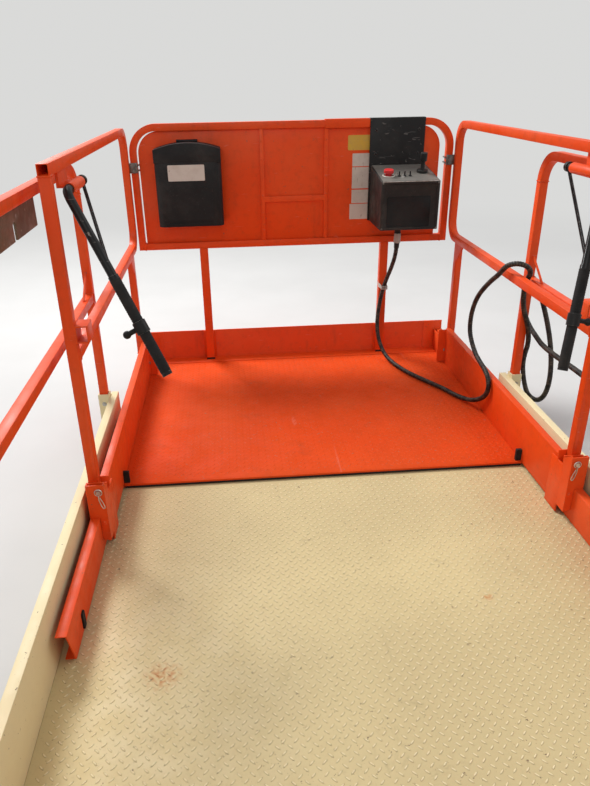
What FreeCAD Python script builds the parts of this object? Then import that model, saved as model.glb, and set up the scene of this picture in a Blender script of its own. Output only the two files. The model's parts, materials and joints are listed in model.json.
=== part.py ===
"""Guard-railed work platform of a scissor lift, with its roll-out deck extension.

All sizes are in millimetres. X points right, Y points forward, towards the extension, and Z points up.
The platform stands on the undersides of its two track channels, with the extension rolled fully out.
Each piece on the right is mirrored to make the one on the left.
"""
import FreeCAD, Part
import math
import os

V = FreeCAD.Vector
X_AXIS = V(1, 0, 0)
Y_AXIS = V(0, 1, 0)
Z_AXIS = V(0, 0, 1)

# Overall sizes of the two decks
FIXED_LENGTH = 2790.0       # the fixed deck, back to front
DECK_HALF = 775.0           # middle of the fixed deck to its toe boards
REACH = 740.0               # the extension, ahead of the fixed deck
SIDE_ROOM = 58.0            # each side of the extension's deck, for the side channels and rollers
FIXED_REAR = -(FIXED_LENGTH + REACH) / 2
FIXED_FRONT = FIXED_REAR + FIXED_LENGTH
EXTENSION_FRONT = FIXED_FRONT + REACH
EXTENSION_HALF = DECK_HALF - SIDE_ROOM

# Square rail tube
TUBE = 30.0
TUBE_WALL = 2.5
HALF_TUBE = TUBE / 2

# Underframe
TRACK_HEIGHT = 90.0
TRACK_FLANGE = 55.0
TRACK_WALL = 6.0
TRACK_X = 400.0             # outer face of each track channel's web
CROSS_HEIGHT = 40.0
CROSS_WIDTH = 60.0
CROSS_COUNT = 7
CROSS_WALL = 3.0
DECK_PLATE = 4.0
CROSS_TOP = TRACK_HEIGHT + CROSS_HEIGHT
DECK_TOP = CROSS_TOP + DECK_PLATE

# Pivot lugs under the rear end, where the lift's arms take hold
PIVOT_BORE_R = 15.0
PIVOT_BOSS_R = 28.0
PIVOT_BOSS_LENGTH = 24.0
PIVOT_INSET = 140.0
PIVOT_HEIGHT = TRACK_HEIGHT / 2

# Toe boards of the fixed deck
SHEET = 4.0
TOE_HEIGHT = 183.0
TOE_FLANGE = 27.0
TOE_LIP = 60.0
TOE_TOP = DECK_TOP + TOE_HEIGHT
TOE_OUTER_X = DECK_HALF + TOE_FLANGE

# Rails of the fixed deck, in sockets on the outside of the toe boards
SOCKET_WALL = 5.0
SOCKET_CLEARANCE = 1.0
SOCKET_OUTER = TUBE + 2 * (SOCKET_WALL + SOCKET_CLEARANCE)
SOCKET_LENGTH = 115.0
SOCKET_ABOVE_TOE = 15.0
SOCKET_TOP = TOE_TOP + SOCKET_ABOVE_TOE
SOCKET_BOTTOM = SOCKET_TOP - SOCKET_LENGTH
SOCKET_SEAT = 10.0
POST_FOOT = SOCKET_BOTTOM + SOCKET_SEAT
RAIL_X = TOE_OUTER_X + SOCKET_OUTER / 2
FIXED_RAIL_TOP = 1188.0
FIXED_MID_TOP = 735.0
FIXED_BEND_R = 95.0
REAR_BEND_R = 45.0
FRONT_POST_Y = FIXED_FRONT - 40.0
MID_POST_Y = FIXED_REAR + 1235.0
REAR_POST_Y = FIXED_REAR + SOCKET_OUTER / 2

# Notched lock racks under the fixed top rails
RACK_HEIGHT = 80.0
RACK_WALL = 6.0
NOTCH_PITCH = 147.0
NOTCH_COUNT = 6
NOTCH_WIDTH = 22.0
NOTCH_DEPTH = 46.0
RACK_FRONT_MARGIN = 200.0   # from the first notch to the rack's front end
RACK_REAR_GAP = 4.0         # from the middle post to the rack's rear end
LAST_NOTCH_Y = MID_POST_Y + HALF_TUBE + 44.0

# Rear rails and gate
REAR_RAIL_Y = FIXED_REAR + HALF_TUBE
REAR_RAIL_TOP = FIXED_RAIL_TOP - HALF_TUBE - REAR_BEND_R
GATE_Y = REAR_RAIL_Y + SHEET
GATE_POST_X = 360.0
GATE_TUBE = 28.0
GATE_SIDE_GAP = 11.0
GATE_BEND_R = 80.0
GATE_FOOT = DECK_TOP + 16.0
GATE_TOP = REAR_RAIL_TOP - 10.0
GATE_TOE_HEIGHT = 150.0
GATE_TOE_SHEET = 3.0
HINGE_HEIGHTS = (390.0, 980.0)
HINGE_PIN_R = 6.0
HINGE_CLEARANCE = 0.3
HINGE_WALL = 5.0
HINGE_LENGTH = 36.0
HINGE_OFFSET = 3.0
HINGE_X = -(GATE_POST_X - HALF_TUBE - GATE_SIDE_GAP / 2)
HINGE_Y = GATE_Y + HALF_TUBE + HINGE_OFFSET + HINGE_WALL + HINGE_PIN_R

# Roll-out deck extension
DECK_STEP = 16.0            # extension deck above the fixed deck
SLIDE_GAP = 2.2
EXTENSION_PLATE = 4.0
EXTENSION_TOP = DECK_TOP + DECK_STEP
EXTENSION_EDGE_Y = FIXED_FRONT - 418.0
EDGE_STRIP = 8.0
RIB_WIDTH = 40.0
RIB_COUNT = 4
FIRST_RIB = 120.0           # from the deck's rear edge

# Side channels that run on the rollers, open outwards
CHANNEL_WEB_X = EXTENSION_HALF + 13.5
CHANNEL_WALL = 4.0
CHANNEL_FLANGE = 28.0
CHANNEL_HEIGHT = 113.0
CHANNEL_BOTTOM = DECK_TOP + 4.0
CHANNEL_TOP = CHANNEL_BOTTOM + CHANNEL_HEIGHT
TAIL_LENGTH = 1231.0        # behind the fixed deck's front edge
TAIL_SLANT = 40.0
CHANNEL_REAR_Y = FIXED_FRONT - TAIL_LENGTH

# Rollers on the fixed toe boards
ROLLER_GAP = 2.0
ROLLER_R = CHANNEL_HEIGHT / 2 - CHANNEL_WALL - ROLLER_GAP
ROLLER_WIDTH = 20.0
ROLLER_SHAFT_R = 8.0
ROLLER_INSET = 60.0         # front roller behind the fixed deck's front edge
ROLLER_SPACING = 500.0

# Toe boards of the extension
SIDE_TOE_SHEET = 3.0
SIDE_TOE_FLANGE = 25.0
SIDE_TOE_INNER_X = EXTENSION_HALF
SIDE_TOE_OUTER_X = SIDE_TOE_INNER_X + SIDE_TOE_FLANGE
SIDE_TOE_TOP = EXTENSION_TOP + 170.0
FRONT_TOE_TOP = EXTENSION_TOP + 145.0
FRONT_SHEET = 5.0
FRONT_LEDGE = 70.0
CORNER_PLATE = 55.0

# Rails of the extension
EXTENSION_RAIL_X = CHANNEL_WEB_X + 15.5
EXTENSION_RAIL_TOP = EXTENSION_TOP + 1100.0
EXTENSION_MID_TOP = EXTENSION_TOP + 609.0
EXTENSION_BEND_R = 75.0
EXTENSION_POST_Y = FIXED_FRONT - 695.0
SIDE_POST_X = SIDE_TOE_OUTER_X + HALF_TUBE
GUSSET_LENGTH = 90.0
GUSSET_SHEET = 5.0
POCKET_WALL = 4.0           # the latch pocket beside the rear post, an open tube
POCKET_WIDTH = 35.0
POCKET_HEIGHT = 49.0
POCKET_LENGTH = 60.0
POCKET_BOTTOM = EXTENSION_MID_TOP + 27.0

# Folding bracket at the foot of the extension's rear post
BRACKET_INNER_X = EXTENSION_HALF - 11.0
BRACKET_OUTER_X = EXTENSION_RAIL_X + HALF_TUBE + 7.0
BRACKET_HEIGHT = 94.0
BRACKET_WALL = 5.0
BRACKET_GAP = 1.0
BRACKET_PLATE_LENGTH = 76.0
BRACKET_PLATE_TOP = CHANNEL_TOP + 62.0
PIN_R = 6.0
PIN_CLEARANCE = 0.3
PIN_HEIGHTS = (24.0, 69.0)
SPACER_R = 8.0
SPACER_HEIGHT = 74.0

# Front frame of the extension
FRAME_GAP = 8.0
FRONT_FRAME_Y = EXTENSION_FRONT - FRONT_SHEET - FRAME_GAP - HALF_TUBE
FRONT_HALF = EXTENSION_HALF - 5.0     # centre line of the front frame's side tubes
FRONT_BEND_R = 105.0
FRONT_TOP = EXTENSION_TOP + 1110.0
FRONT_BAR_Z = EXTENSION_TOP + 578.0
FRONT_POST_X = 430.0
FRONT_POST_FOOT = EXTENSION_TOP + SIDE_TOE_SHEET
CLAMP_PLATE = 6.0
CLAMP_HEIGHT = 44.0
CLAMP_Z = EXTENSION_TOP + 908.0
SPLICE_LEFT = 139.0
SPLICE_RIGHT = 338.0
SPLICE_WALL = 3.5
EXTENSION_FRONT_LEG_Y = FRONT_FRAME_Y - TUBE - CLAMP_PLATE
SIDE_POST_Y = EXTENSION_FRONT_LEG_Y - EXTENSION_BEND_R - 16.0

# Sheet panel in the front frame, with its ribs
PANEL_LEFT = -(FRONT_HALF - HALF_TUBE - 7.0)
PANEL_RIGHT = FRONT_HALF - HALF_TUBE - 30.0
PANEL_SHEET = 2.0
PANEL_CORNER_R = 95.0
RIB_X = 145.0
PANEL_RIB_DEPTH = 12.0
PANEL_RIB_WIDTH = 18.0
CROSS_RIB_Z = EXTENSION_TOP + 765.0
CROSS_RIB_HEIGHT = 25.0
PANEL_BACK = FRONT_FRAME_Y - PANEL_SHEET / 2
PANEL_LOW = FRONT_BAR_Z + HALF_TUBE
PANEL_HIGH = FRONT_TOP - TUBE

# Document box on the panel, its lid hinged at the top of its back plate
BOX_X = -473.0
BOX_WIDTH = 290.0
BOX_DEPTH = 95.0
BOX_BOTTOM = EXTENSION_TOP + 682.0
BOX_RIM = EXTENSION_TOP + 955.0
BOX_CROWN = EXTENSION_TOP + 1035.0
BOX_SHOULDER_DROP = 26.0
BOX_WALL = 4.0
BOX_CORNER_R = 28.0
LID_GAP = 0.3
LID_PIN_R = 2.5
LID_KNUCKLE_R = 6.0
LID_KNUCKLE_LENGTH = 60.0
EAR_LENGTH = 16.0
LID_PIN_Y = PANEL_BACK - BOX_WALL - 3 * LID_GAP - LID_KNUCKLE_R
LID_PIN_Z = BOX_CROWN + 2.5

# Control box
CONTROL_LEFT = 348.0
CONTROL_RIGHT = 602.0
CONTROL_DEPTH = 248.0
CONTROL_BOTTOM = EXTENSION_TOP + 670.0
CONTROL_NEAR_TOP = EXTENSION_TOP + 875.0
CONTROL_FAR_TOP = EXTENSION_TOP + 915.0
CONTROL_RIM = 12.0
CONTROL_RECESS = 6.0
GUARD_LEFT = 341.0
GUARD_RIGHT = 590.0
GUARD_WALL = 4.0
GUARD_HOOK = 30.0
CONTROL_FAR_Y = FRONT_FRAME_Y - HALF_TUBE - GUARD_WALL
CONTROL_REAR_Y = CONTROL_FAR_Y - CONTROL_DEPTH
LEVER_INSET = 50.0
SWITCH_PITCH = 24.0
SWITCH_COUNT = 3
STOP_INSET = 45.0
STOP_R = 21.0

# Push handles, swung inwards by different angles
HANDLE_X = EXTENSION_RAIL_X - 32.0
HANDLE_Z = EXTENSION_RAIL_TOP - 75.0
HANDLE_ROD_R = 12.0
HANDLE_BEND_R = 35.0
HANDLE_DROP = 512.0
HANDLE_BACK = 151.0         # how far the leg's end lies behind its elbow
HANDLE_GRIP_R = 14.0
HANDLE_ELBOW_Y = EXTENSION_POST_Y + 55.0
HANDLE_FRONT_Y = HANDLE_ELBOW_Y + 200.0
HANDLE_CAP_R = 15.0
HANDLE_CAP_LENGTH = 14.0
SLEEVE_WALL = 3.5
SLEEVE_CLEARANCE = 0.3
SLEEVE_REAR_Y = HANDLE_ELBOW_Y + 40.0
SLEEVE_LENGTH = 140.0
SLEEVE_HANGER = 8.0
BRACE_R = 5.0
COLLAR_R = 18.0
COLLAR_LENGTH = 34.0
KNOB_R = 7.0
KNOB_BALL_R = 11.0
KNOB_LENGTH = 44.0
GRIP_START = 0.45           # shares of the leg's length
BRACE_JUNCTION = 0.43
COLLAR_PLACE = 0.70
RIGHT_HANDLE_SWING = 12.0
LEFT_HANDLE_SWING = 26.5

# Control cable
CABLE_R = 11.0
GLAND_R = 17.0
GLAND_NECK_R = 14.0
GLAND_NUT = 14.0
GLAND_LENGTH = 30.0
FEED_BLOCK = 42.0
FEED_NECK = 18.0


def box(x, y, z):
    """A block between the low and high ends of three pairs."""
    return Part.makeBox(x[1] - x[0], y[1] - y[0], z[1] - z[0], V(x[0], y[0], z[0]))


def fuse(pieces):
    """One solid from pieces that share faces or overlap."""
    whole = pieces[0].multiFuse(pieces[1:]) if len(pieces) > 1 else pieces[0]
    return whole.removeSplitter()


def outline(points, plane, low, high):
    """A closed outline of (a, b) points, extruded across the plane named by its two axes."""
    place = {
        "yz": lambda a, b: V(low, a, b),
        "xz": lambda a, b: V(a, low, b),
        "xy": lambda a, b: V(a, b, low),
    }[plane]
    along = {"yz": X_AXIS, "xz": Y_AXIS, "xy": Z_AXIS}[plane]
    corners = [place(a, b) for a, b in points]
    face = Part.Face(Part.makePolygon(corners + corners[:1]))
    return face.extrude(along * (high - low))


def square_section(centre, direction, side, size, wall):
    """A square tube's section at a point, one pair of its faces square to side."""
    other = direction.cross(side)

    def ring(half):
        corners = [centre + side * (a * half) + other * (b * half) for a, b in ((-1, -1), (1, -1), (1, 1), (-1, 1))]
        return Part.Face(Part.makePolygon(corners + corners[:1]))

    return ring(size / 2).cut(ring(size / 2 - wall)).Faces[0]


def round_section(centre, direction, radius):
    """A rod's section at a point."""
    return Part.Face(Part.Wire(Part.makeCircle(radius, centre, direction)))


def bent(points, radii, section):
    """A tube or rod along straight runs joined by tangent bends, from a section function of place and direction."""
    pieces = []
    start = points[0]
    for index, corner in enumerate(points[1:-1]):
        inward_run = (corner - start).normalize()
        outward_run = (points[index + 2] - corner).normalize()
        turn = inward_run.getAngle(outward_run)
        setback = radii[index] * math.tan(turn / 2)
        bend_start = corner - inward_run * setback
        bend_end = corner + outward_run * setback
        if (bend_start - start).Length > 0.01:
            pieces.append(section(start, inward_run).extrude(bend_start - start))
        axis = inward_run.cross(outward_run).normalize()
        centre = bend_start + axis.cross(inward_run) * radii[index]
        pieces.append(section(bend_start, inward_run).revolve(centre, axis, math.degrees(turn)))
        start = bend_end
    last_run = (points[-1] - start).normalize()
    pieces.append(section(start, last_run).extrude(points[-1] - start))
    return fuse(pieces)


def rail(points, radii=(), side=X_AXIS, size=TUBE):
    """Square rail tube, open at its ends, bent in the plane that is square to side."""
    return bent(points, radii, lambda place, along: square_section(place, along, side, size, TUBE_WALL))


def rod(points, radii, radius):
    """Solid round rod, bent."""
    return bent(points, radii, lambda place, along: round_section(place, along, radius))


def cylinder(start, along, radius, length):
    """A round bar from a point, along a direction."""
    return Part.makeCylinder(radius, length, start, along)


def track_channel():
    """Track channel under the deck, open inwards, with the rear pivot's boss."""
    inner = TRACK_X - TRACK_FLANGE
    profile = [
        (inner, 0), (TRACK_X, 0), (TRACK_X, TRACK_HEIGHT), (inner, TRACK_HEIGHT),
        (inner, TRACK_HEIGHT - TRACK_WALL), (TRACK_X - TRACK_WALL, TRACK_HEIGHT - TRACK_WALL),
        (TRACK_X - TRACK_WALL, TRACK_WALL), (inner, TRACK_WALL),
    ]
    channel = outline(profile, "xz", FIXED_REAR + SHEET, FIXED_FRONT)
    pivot = V(TRACK_X, FIXED_REAR + PIVOT_INSET, PIVOT_HEIGHT)
    boss = cylinder(pivot, X_AXIS, PIVOT_BOSS_R, PIVOT_BOSS_LENGTH)
    bore = cylinder(pivot - X_AXIS * 2 * TRACK_WALL, X_AXIS, PIVOT_BORE_R, PIVOT_BOSS_LENGTH + 4 * TRACK_WALL)
    return fuse([channel, boss]).cut(bore)


def cross_members():
    """Box-section cross members between the toe boards, on top of the track channels."""
    first = FIXED_REAR + SHEET + CROSS_WIDTH
    last = FIXED_FRONT - CROSS_WIDTH / 2
    pitch = (last - first) / (CROSS_COUNT - 1)
    members = []
    for index in range(CROSS_COUNT):
        y = first + index * pitch
        width = (y - CROSS_WIDTH / 2, y + CROSS_WIDTH / 2)
        hollow = (width[0] + CROSS_WALL, width[1] - CROSS_WALL)
        outer = box((-DECK_HALF, DECK_HALF), width, (TRACK_HEIGHT, CROSS_TOP))
        inner = box((-DECK_HALF - 1, DECK_HALF + 1), hollow, (TRACK_HEIGHT + CROSS_WALL, CROSS_TOP - CROSS_WALL))
        members.append(outer.cut(inner))
    return Part.makeCompound(members)


def deck_plate():
    """Tread plate of the fixed deck, its front edge turned down."""
    plate = box((-DECK_HALF, DECK_HALF), (FIXED_REAR + SHEET, FIXED_FRONT + SHEET), (CROSS_TOP, DECK_TOP))
    nose = box((-DECK_HALF, DECK_HALF), (FIXED_FRONT, FIXED_FRONT + SHEET), (TRACK_HEIGHT, CROSS_TOP))
    return fuse([plate, nose])


def toe_board():
    """Side toe board of the fixed deck: a folded sheet with a top flange and a lip down its outside."""
    profile = [
        (DECK_HALF, TRACK_HEIGHT), (DECK_HALF + SHEET, TRACK_HEIGHT), (DECK_HALF + SHEET, TOE_TOP - SHEET),
        (TOE_OUTER_X - SHEET, TOE_TOP - SHEET), (TOE_OUTER_X - SHEET, TOE_TOP - TOE_LIP),
        (TOE_OUTER_X, TOE_TOP - TOE_LIP), (TOE_OUTER_X, TOE_TOP), (DECK_HALF, TOE_TOP),
    ]
    return outline(profile, "xz", FIXED_REAR, FIXED_FRONT)


def rear_toe_boards():
    """Two boards across the rear, either side of the gate, and the sill between them."""
    edge = GATE_POST_X + HALF_TUBE
    boards = [
        box((low, high), (FIXED_REAR, FIXED_REAR + SHEET), (TRACK_HEIGHT, TOE_TOP))
        for low, high in ((-DECK_HALF, -edge), (edge, DECK_HALF))
    ]
    sill = box((-edge, edge), (FIXED_REAR, FIXED_REAR + SHEET), (TRACK_HEIGHT, DECK_TOP))
    return fuse(boards + [sill])


def top_rail():
    """Top rail of the fixed side, bent down at both ends."""
    z = FIXED_RAIL_TOP - HALF_TUBE
    points = [
        V(RAIL_X, REAR_POST_Y, post_tops()[REAR_POST_Y]), V(RAIL_X, REAR_POST_Y, z), V(RAIL_X, FRONT_POST_Y, z),
        V(RAIL_X, FRONT_POST_Y, post_tops()[FRONT_POST_Y]),
    ]
    return rail(points, (REAR_BEND_R, FIXED_BEND_R))


def post_tops():
    """Where each post of the fixed side meets the top rail, by the post's place along the side."""
    centre = FIXED_RAIL_TOP - HALF_TUBE
    straight = 1.0
    return {
        FRONT_POST_Y: centre - FIXED_BEND_R - straight,
        MID_POST_Y: FIXED_RAIL_TOP - TUBE,
        REAR_POST_Y: centre - REAR_BEND_R - straight,
    }


def rail_posts():
    """Front, middle and rear posts of the fixed side, down into their sockets."""
    return Part.makeCompound([rail([V(RAIL_X, y, POST_FOOT), V(RAIL_X, y, top)]) for y, top in post_tops().items()])


def mid_rails():
    """Mid rail of the fixed side, in two stretches between the posts."""
    z = FIXED_MID_TOP - HALF_TUBE
    stretches = ((REAR_POST_Y, MID_POST_Y), (MID_POST_Y, FRONT_POST_Y))
    rails = [rail([V(RAIL_X, low + HALF_TUBE, z), V(RAIL_X, high - HALF_TUBE, z)]) for low, high in stretches]
    return Part.makeCompound(rails)


def rail_sockets():
    """Sockets on the lip of the toe board, each closed by a seat under its post."""
    room = HALF_TUBE + SOCKET_CLEARANCE
    sockets = []
    for y in (FRONT_POST_Y, MID_POST_Y, REAR_POST_Y):
        bottom = V(RAIL_X, y, SOCKET_BOTTOM)
        top = V(RAIL_X, y, SOCKET_TOP)
        sleeve = bent([bottom, top], (), lambda place, along: square_section(
            place, along, X_AXIS, SOCKET_OUTER, SOCKET_WALL))
        seat = box((RAIL_X - room, RAIL_X + room), (y - room, y + room), (SOCKET_BOTTOM, POST_FOOT))
        sockets.append(fuse([sleeve, seat]))
    return Part.makeCompound(sockets)


def lock_rack():
    """Notched rack under the fixed top rail, its round-topped notches open downwards."""
    top = FIXED_RAIL_TOP - TUBE
    bottom = top - RACK_HEIGHT
    rear = MID_POST_Y + HALF_TUBE + RACK_REAR_GAP
    front = LAST_NOTCH_Y + (NOTCH_COUNT - 1) * NOTCH_PITCH + RACK_FRONT_MARGIN
    wall = (RAIL_X - RACK_WALL / 2, RAIL_X + RACK_WALL / 2)
    plate = box(wall, (rear, front), (bottom, top))
    half = NOTCH_WIDTH / 2
    crown = bottom + NOTCH_DEPTH - half
    notches = []
    for index in range(NOTCH_COUNT):
        y = LAST_NOTCH_Y + index * NOTCH_PITCH
        slot = box((wall[0] - 1, wall[1] + 1), (y - half, y + half), (bottom - 1, crown))
        notches.append(fuse([slot, cylinder(V(wall[0] - 1, y, crown), X_AXIS, half, RACK_WALL + 2)]))
    return plate.cut(Part.makeCompound(notches))


def track_rollers():
    """Two rollers on stub shafts from the toe board, inside the extension's side channel."""
    rollers = []
    z = CHANNEL_BOTTOM + CHANNEL_HEIGHT / 2
    inner = CHANNEL_WEB_X + CHANNEL_WALL + ROLLER_GAP
    front = FIXED_FRONT - ROLLER_INSET
    for y in (front, front - ROLLER_SPACING):
        wheel = cylinder(V(inner, y, z), X_AXIS, ROLLER_R, ROLLER_WIDTH)
        shaft = cylinder(V(inner, y, z), X_AXIS, ROLLER_SHAFT_R, DECK_HALF - inner)
        rollers.append(fuse([wheel, shaft]))
    return Part.makeCompound(rollers)


def rear_rails():
    """Top and mid rails across the rear, each side of the gate."""
    side_face = RAIL_X - HALF_TUBE
    gate_face = GATE_POST_X + HALF_TUBE
    rails = []
    for top in (REAR_RAIL_TOP, FIXED_MID_TOP):
        for sign in (-1, 1):
            ends = [V(sign * gate_face, REAR_RAIL_Y, top - HALF_TUBE), V(sign * side_face, REAR_RAIL_Y, top - HALF_TUBE)]
            rails.append(rail(ends, side=Y_AXIS))
    return Part.makeCompound(rails)


def gate_posts():
    """Posts at both sides of the gate, the left one with the hinge pins."""
    posts = []
    for sign in (-1, 1):
        x = sign * GATE_POST_X
        posts.append(rail([V(x, GATE_Y, DECK_TOP), V(x, GATE_Y, REAR_RAIL_TOP)]))
    face_y = GATE_Y + HALF_TUBE
    leaves = []
    for z in HINGE_HEIGHTS:
        leaf = box((-GATE_POST_X, HINGE_X + HINGE_PIN_R), (face_y, HINGE_Y + HINGE_PIN_R), (z - HINGE_WALL, z))
        pin = cylinder(V(HINGE_X, HINGE_Y, z), Z_AXIS, HINGE_PIN_R, HINGE_LENGTH + HINGE_WALL)
        leaves += [leaf, pin]
    return Part.makeCompound([fuse([posts[0]] + leaves), posts[1]])


def gate_frame():
    """Gate: a bent tube frame with a mid bar and hinge eyes, hung on the left post."""
    half = GATE_POST_X - HALF_TUBE - GATE_SIDE_GAP - GATE_TUBE / 2
    top = GATE_TOP - GATE_TUBE / 2
    points = [V(-half, GATE_Y, GATE_FOOT), V(-half, GATE_Y, top), V(half, GATE_Y, top), V(half, GATE_Y, GATE_FOOT)]
    pieces = [rail(points, (GATE_BEND_R, GATE_BEND_R), side=Y_AXIS, size=GATE_TUBE)]
    inner = half - GATE_TUBE / 2
    for z in (FIXED_MID_TOP - GATE_TUBE / 2, GATE_FOOT + GATE_TUBE / 2):
        pieces.append(rail([V(-inner, GATE_Y, z), V(inner, GATE_Y, z)], side=Y_AXIS, size=GATE_TUBE))
    for z in HINGE_HEIGHTS:
        base = V(HINGE_X, HINGE_Y, z + HINGE_CLEARANCE)
        eye = cylinder(base, Z_AXIS, HINGE_PIN_R + HINGE_CLEARANCE + HINGE_WALL, HINGE_LENGTH)
        strap = box((HINGE_X, -inner), (GATE_Y + GATE_TUBE / 2, HINGE_Y), (base.z, base.z + HINGE_LENGTH))
        bore = cylinder(base - Z_AXIS, Z_AXIS, HINGE_PIN_R + HINGE_CLEARANCE, HINGE_LENGTH + 2)
        pieces.append(fuse([eye, strap]).cut(bore))
    return fuse(pieces)


def gate_toe_plate():
    """Toe plate on the outside of the gate."""
    half = GATE_POST_X - HALF_TUBE - GATE_SIDE_GAP
    y = GATE_Y - GATE_TUBE / 2
    return box((-half, half), (y - GATE_TOE_SHEET, y), (GATE_FOOT, GATE_FOOT + GATE_TOE_HEIGHT))


def extension_deck():
    """Deck of the extension, on cross ribs that reach the side channels and ride just above the fixed deck."""
    low = EXTENSION_TOP - EXTENSION_PLATE
    front = EXTENSION_FRONT - FRONT_SHEET
    pieces = [box((-EXTENSION_HALF, EXTENSION_HALF), (EXTENSION_EDGE_Y, front), (low, EXTENSION_TOP))]
    first = EXTENSION_EDGE_Y + FIRST_RIB
    pitch = (front - RIB_WIDTH - first) / (RIB_COUNT - 1)
    for index in range(RIB_COUNT):
        y = first + index * pitch
        pieces.append(box((-CHANNEL_WEB_X, CHANNEL_WEB_X), (y, y + RIB_WIDTH), (DECK_TOP + SLIDE_GAP, low)))
    return fuse(pieces)


def deck_edge_strip():
    """Black strip along the rear edge of the extension's deck, down to just above the fixed deck."""
    edge = (EXTENSION_EDGE_Y - EDGE_STRIP, EXTENSION_EDGE_Y)
    return box((-EXTENSION_HALF, EXTENSION_HALF), edge, (DECK_TOP + SLIDE_GAP, EXTENSION_TOP))


def side_channel():
    """Side channel of the extension, open outwards, from its slanted tail to the front."""
    outer = CHANNEL_WEB_X + CHANNEL_FLANGE
    web = CHANNEL_WEB_X + CHANNEL_WALL
    profile = [
        (CHANNEL_WEB_X, CHANNEL_BOTTOM), (outer, CHANNEL_BOTTOM), (outer, CHANNEL_BOTTOM + CHANNEL_WALL),
        (web, CHANNEL_BOTTOM + CHANNEL_WALL), (web, CHANNEL_TOP - CHANNEL_WALL), (outer, CHANNEL_TOP - CHANNEL_WALL),
        (outer, CHANNEL_TOP), (CHANNEL_WEB_X, CHANNEL_TOP),
    ]
    channel = outline(profile, "xz", CHANNEL_REAR_Y, EXTENSION_FRONT - FRONT_SHEET)
    slant = [
        (CHANNEL_REAR_Y, CHANNEL_TOP), (CHANNEL_REAR_Y - 1, CHANNEL_TOP), (CHANNEL_REAR_Y - 1, CHANNEL_BOTTOM - 1),
        (CHANNEL_REAR_Y + TAIL_SLANT, CHANNEL_BOTTOM - 1),
    ]
    return channel.cut(outline(slant, "yz", CHANNEL_WEB_X - 1, outer + 1))


def side_toe():
    """Toe board of the extension's side: a folded cap that stands on the side channel."""
    rear = EXTENSION_POST_Y + HALF_TUBE + BRACKET_GAP + BRACKET_WALL
    low = EXTENSION_TOP - EXTENSION_PLATE
    inner = SIDE_TOE_INNER_X + SIDE_TOE_SHEET
    outer = SIDE_TOE_OUTER_X - SIDE_TOE_SHEET
    profile = [
        (SIDE_TOE_INNER_X, low), (inner, low), (inner, SIDE_TOE_TOP - SIDE_TOE_SHEET),
        (outer, SIDE_TOE_TOP - SIDE_TOE_SHEET), (outer, CHANNEL_TOP), (SIDE_TOE_OUTER_X, CHANNEL_TOP),
        (SIDE_TOE_OUTER_X, SIDE_TOE_TOP), (SIDE_TOE_INNER_X, SIDE_TOE_TOP),
    ]
    return outline(profile, "xz", rear, EXTENSION_FRONT - FRONT_SHEET)


def front_toe_board():
    """Front toe board: an angle whose foot lies on the deck, with a plate in each corner."""
    half = CHANNEL_WEB_X + CHANNEL_FLANGE
    back = EXTENSION_FRONT - FRONT_SHEET
    foot_top = EXTENSION_TOP + SIDE_TOE_SHEET
    pieces = [
        box((-half, half), (back, EXTENSION_FRONT), (CHANNEL_BOTTOM, FRONT_TOE_TOP)),
        box((-EXTENSION_HALF, EXTENSION_HALF), (back - FRONT_LEDGE, back), (EXTENSION_TOP, foot_top)),
    ]
    for low in (-EXTENSION_HALF, EXTENSION_HALF - CORNER_PLATE):
        pieces.append(box((low, low + CORNER_PLATE), (back - SHEET, back), (foot_top, FRONT_TOE_TOP)))
    return fuse(pieces)


def bracket_pins(radius):
    """The pins through the folding bracket, or the holes for them."""
    half = HALF_TUBE + BRACKET_GAP
    return [
        cylinder(V(EXTENSION_RAIL_X, EXTENSION_POST_Y - half, CHANNEL_TOP + height), Y_AXIS, radius, 2 * half)
        for height in PIN_HEIGHTS
    ]


def post_bracket():
    """Folding bracket at the foot of the extension's rear post: two cheeks, a floor, and a plate down inside."""
    half = HALF_TUBE + BRACKET_GAP
    rear = EXTENSION_POST_Y - half - BRACKET_WALL
    wide = (BRACKET_INNER_X, BRACKET_OUTER_X)
    pieces = [
        box(wide, (EXTENSION_POST_Y + low, EXTENSION_POST_Y + high), (CHANNEL_TOP, CHANNEL_TOP + BRACKET_HEIGHT))
        for low, high in ((-half - BRACKET_WALL, -half), (half, half + BRACKET_WALL))
    ]
    pieces.append(box(wide, (EXTENSION_POST_Y - half, EXTENSION_POST_Y + half), (CHANNEL_TOP, CHANNEL_TOP + BRACKET_WALL)))
    pieces.append(box((BRACKET_INNER_X, BRACKET_INNER_X + BRACKET_WALL), (rear, rear + BRACKET_PLATE_LENGTH),
                      (CHANNEL_BOTTOM, BRACKET_PLATE_TOP)))
    spacer = V(BRACKET_INNER_X, EXTENSION_POST_Y, CHANNEL_BOTTOM + SPACER_HEIGHT)
    pieces.append(cylinder(spacer, X_AXIS, SPACER_R, CHANNEL_WEB_X - BRACKET_INNER_X))
    return fuse(pieces + bracket_pins(PIN_R))


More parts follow.
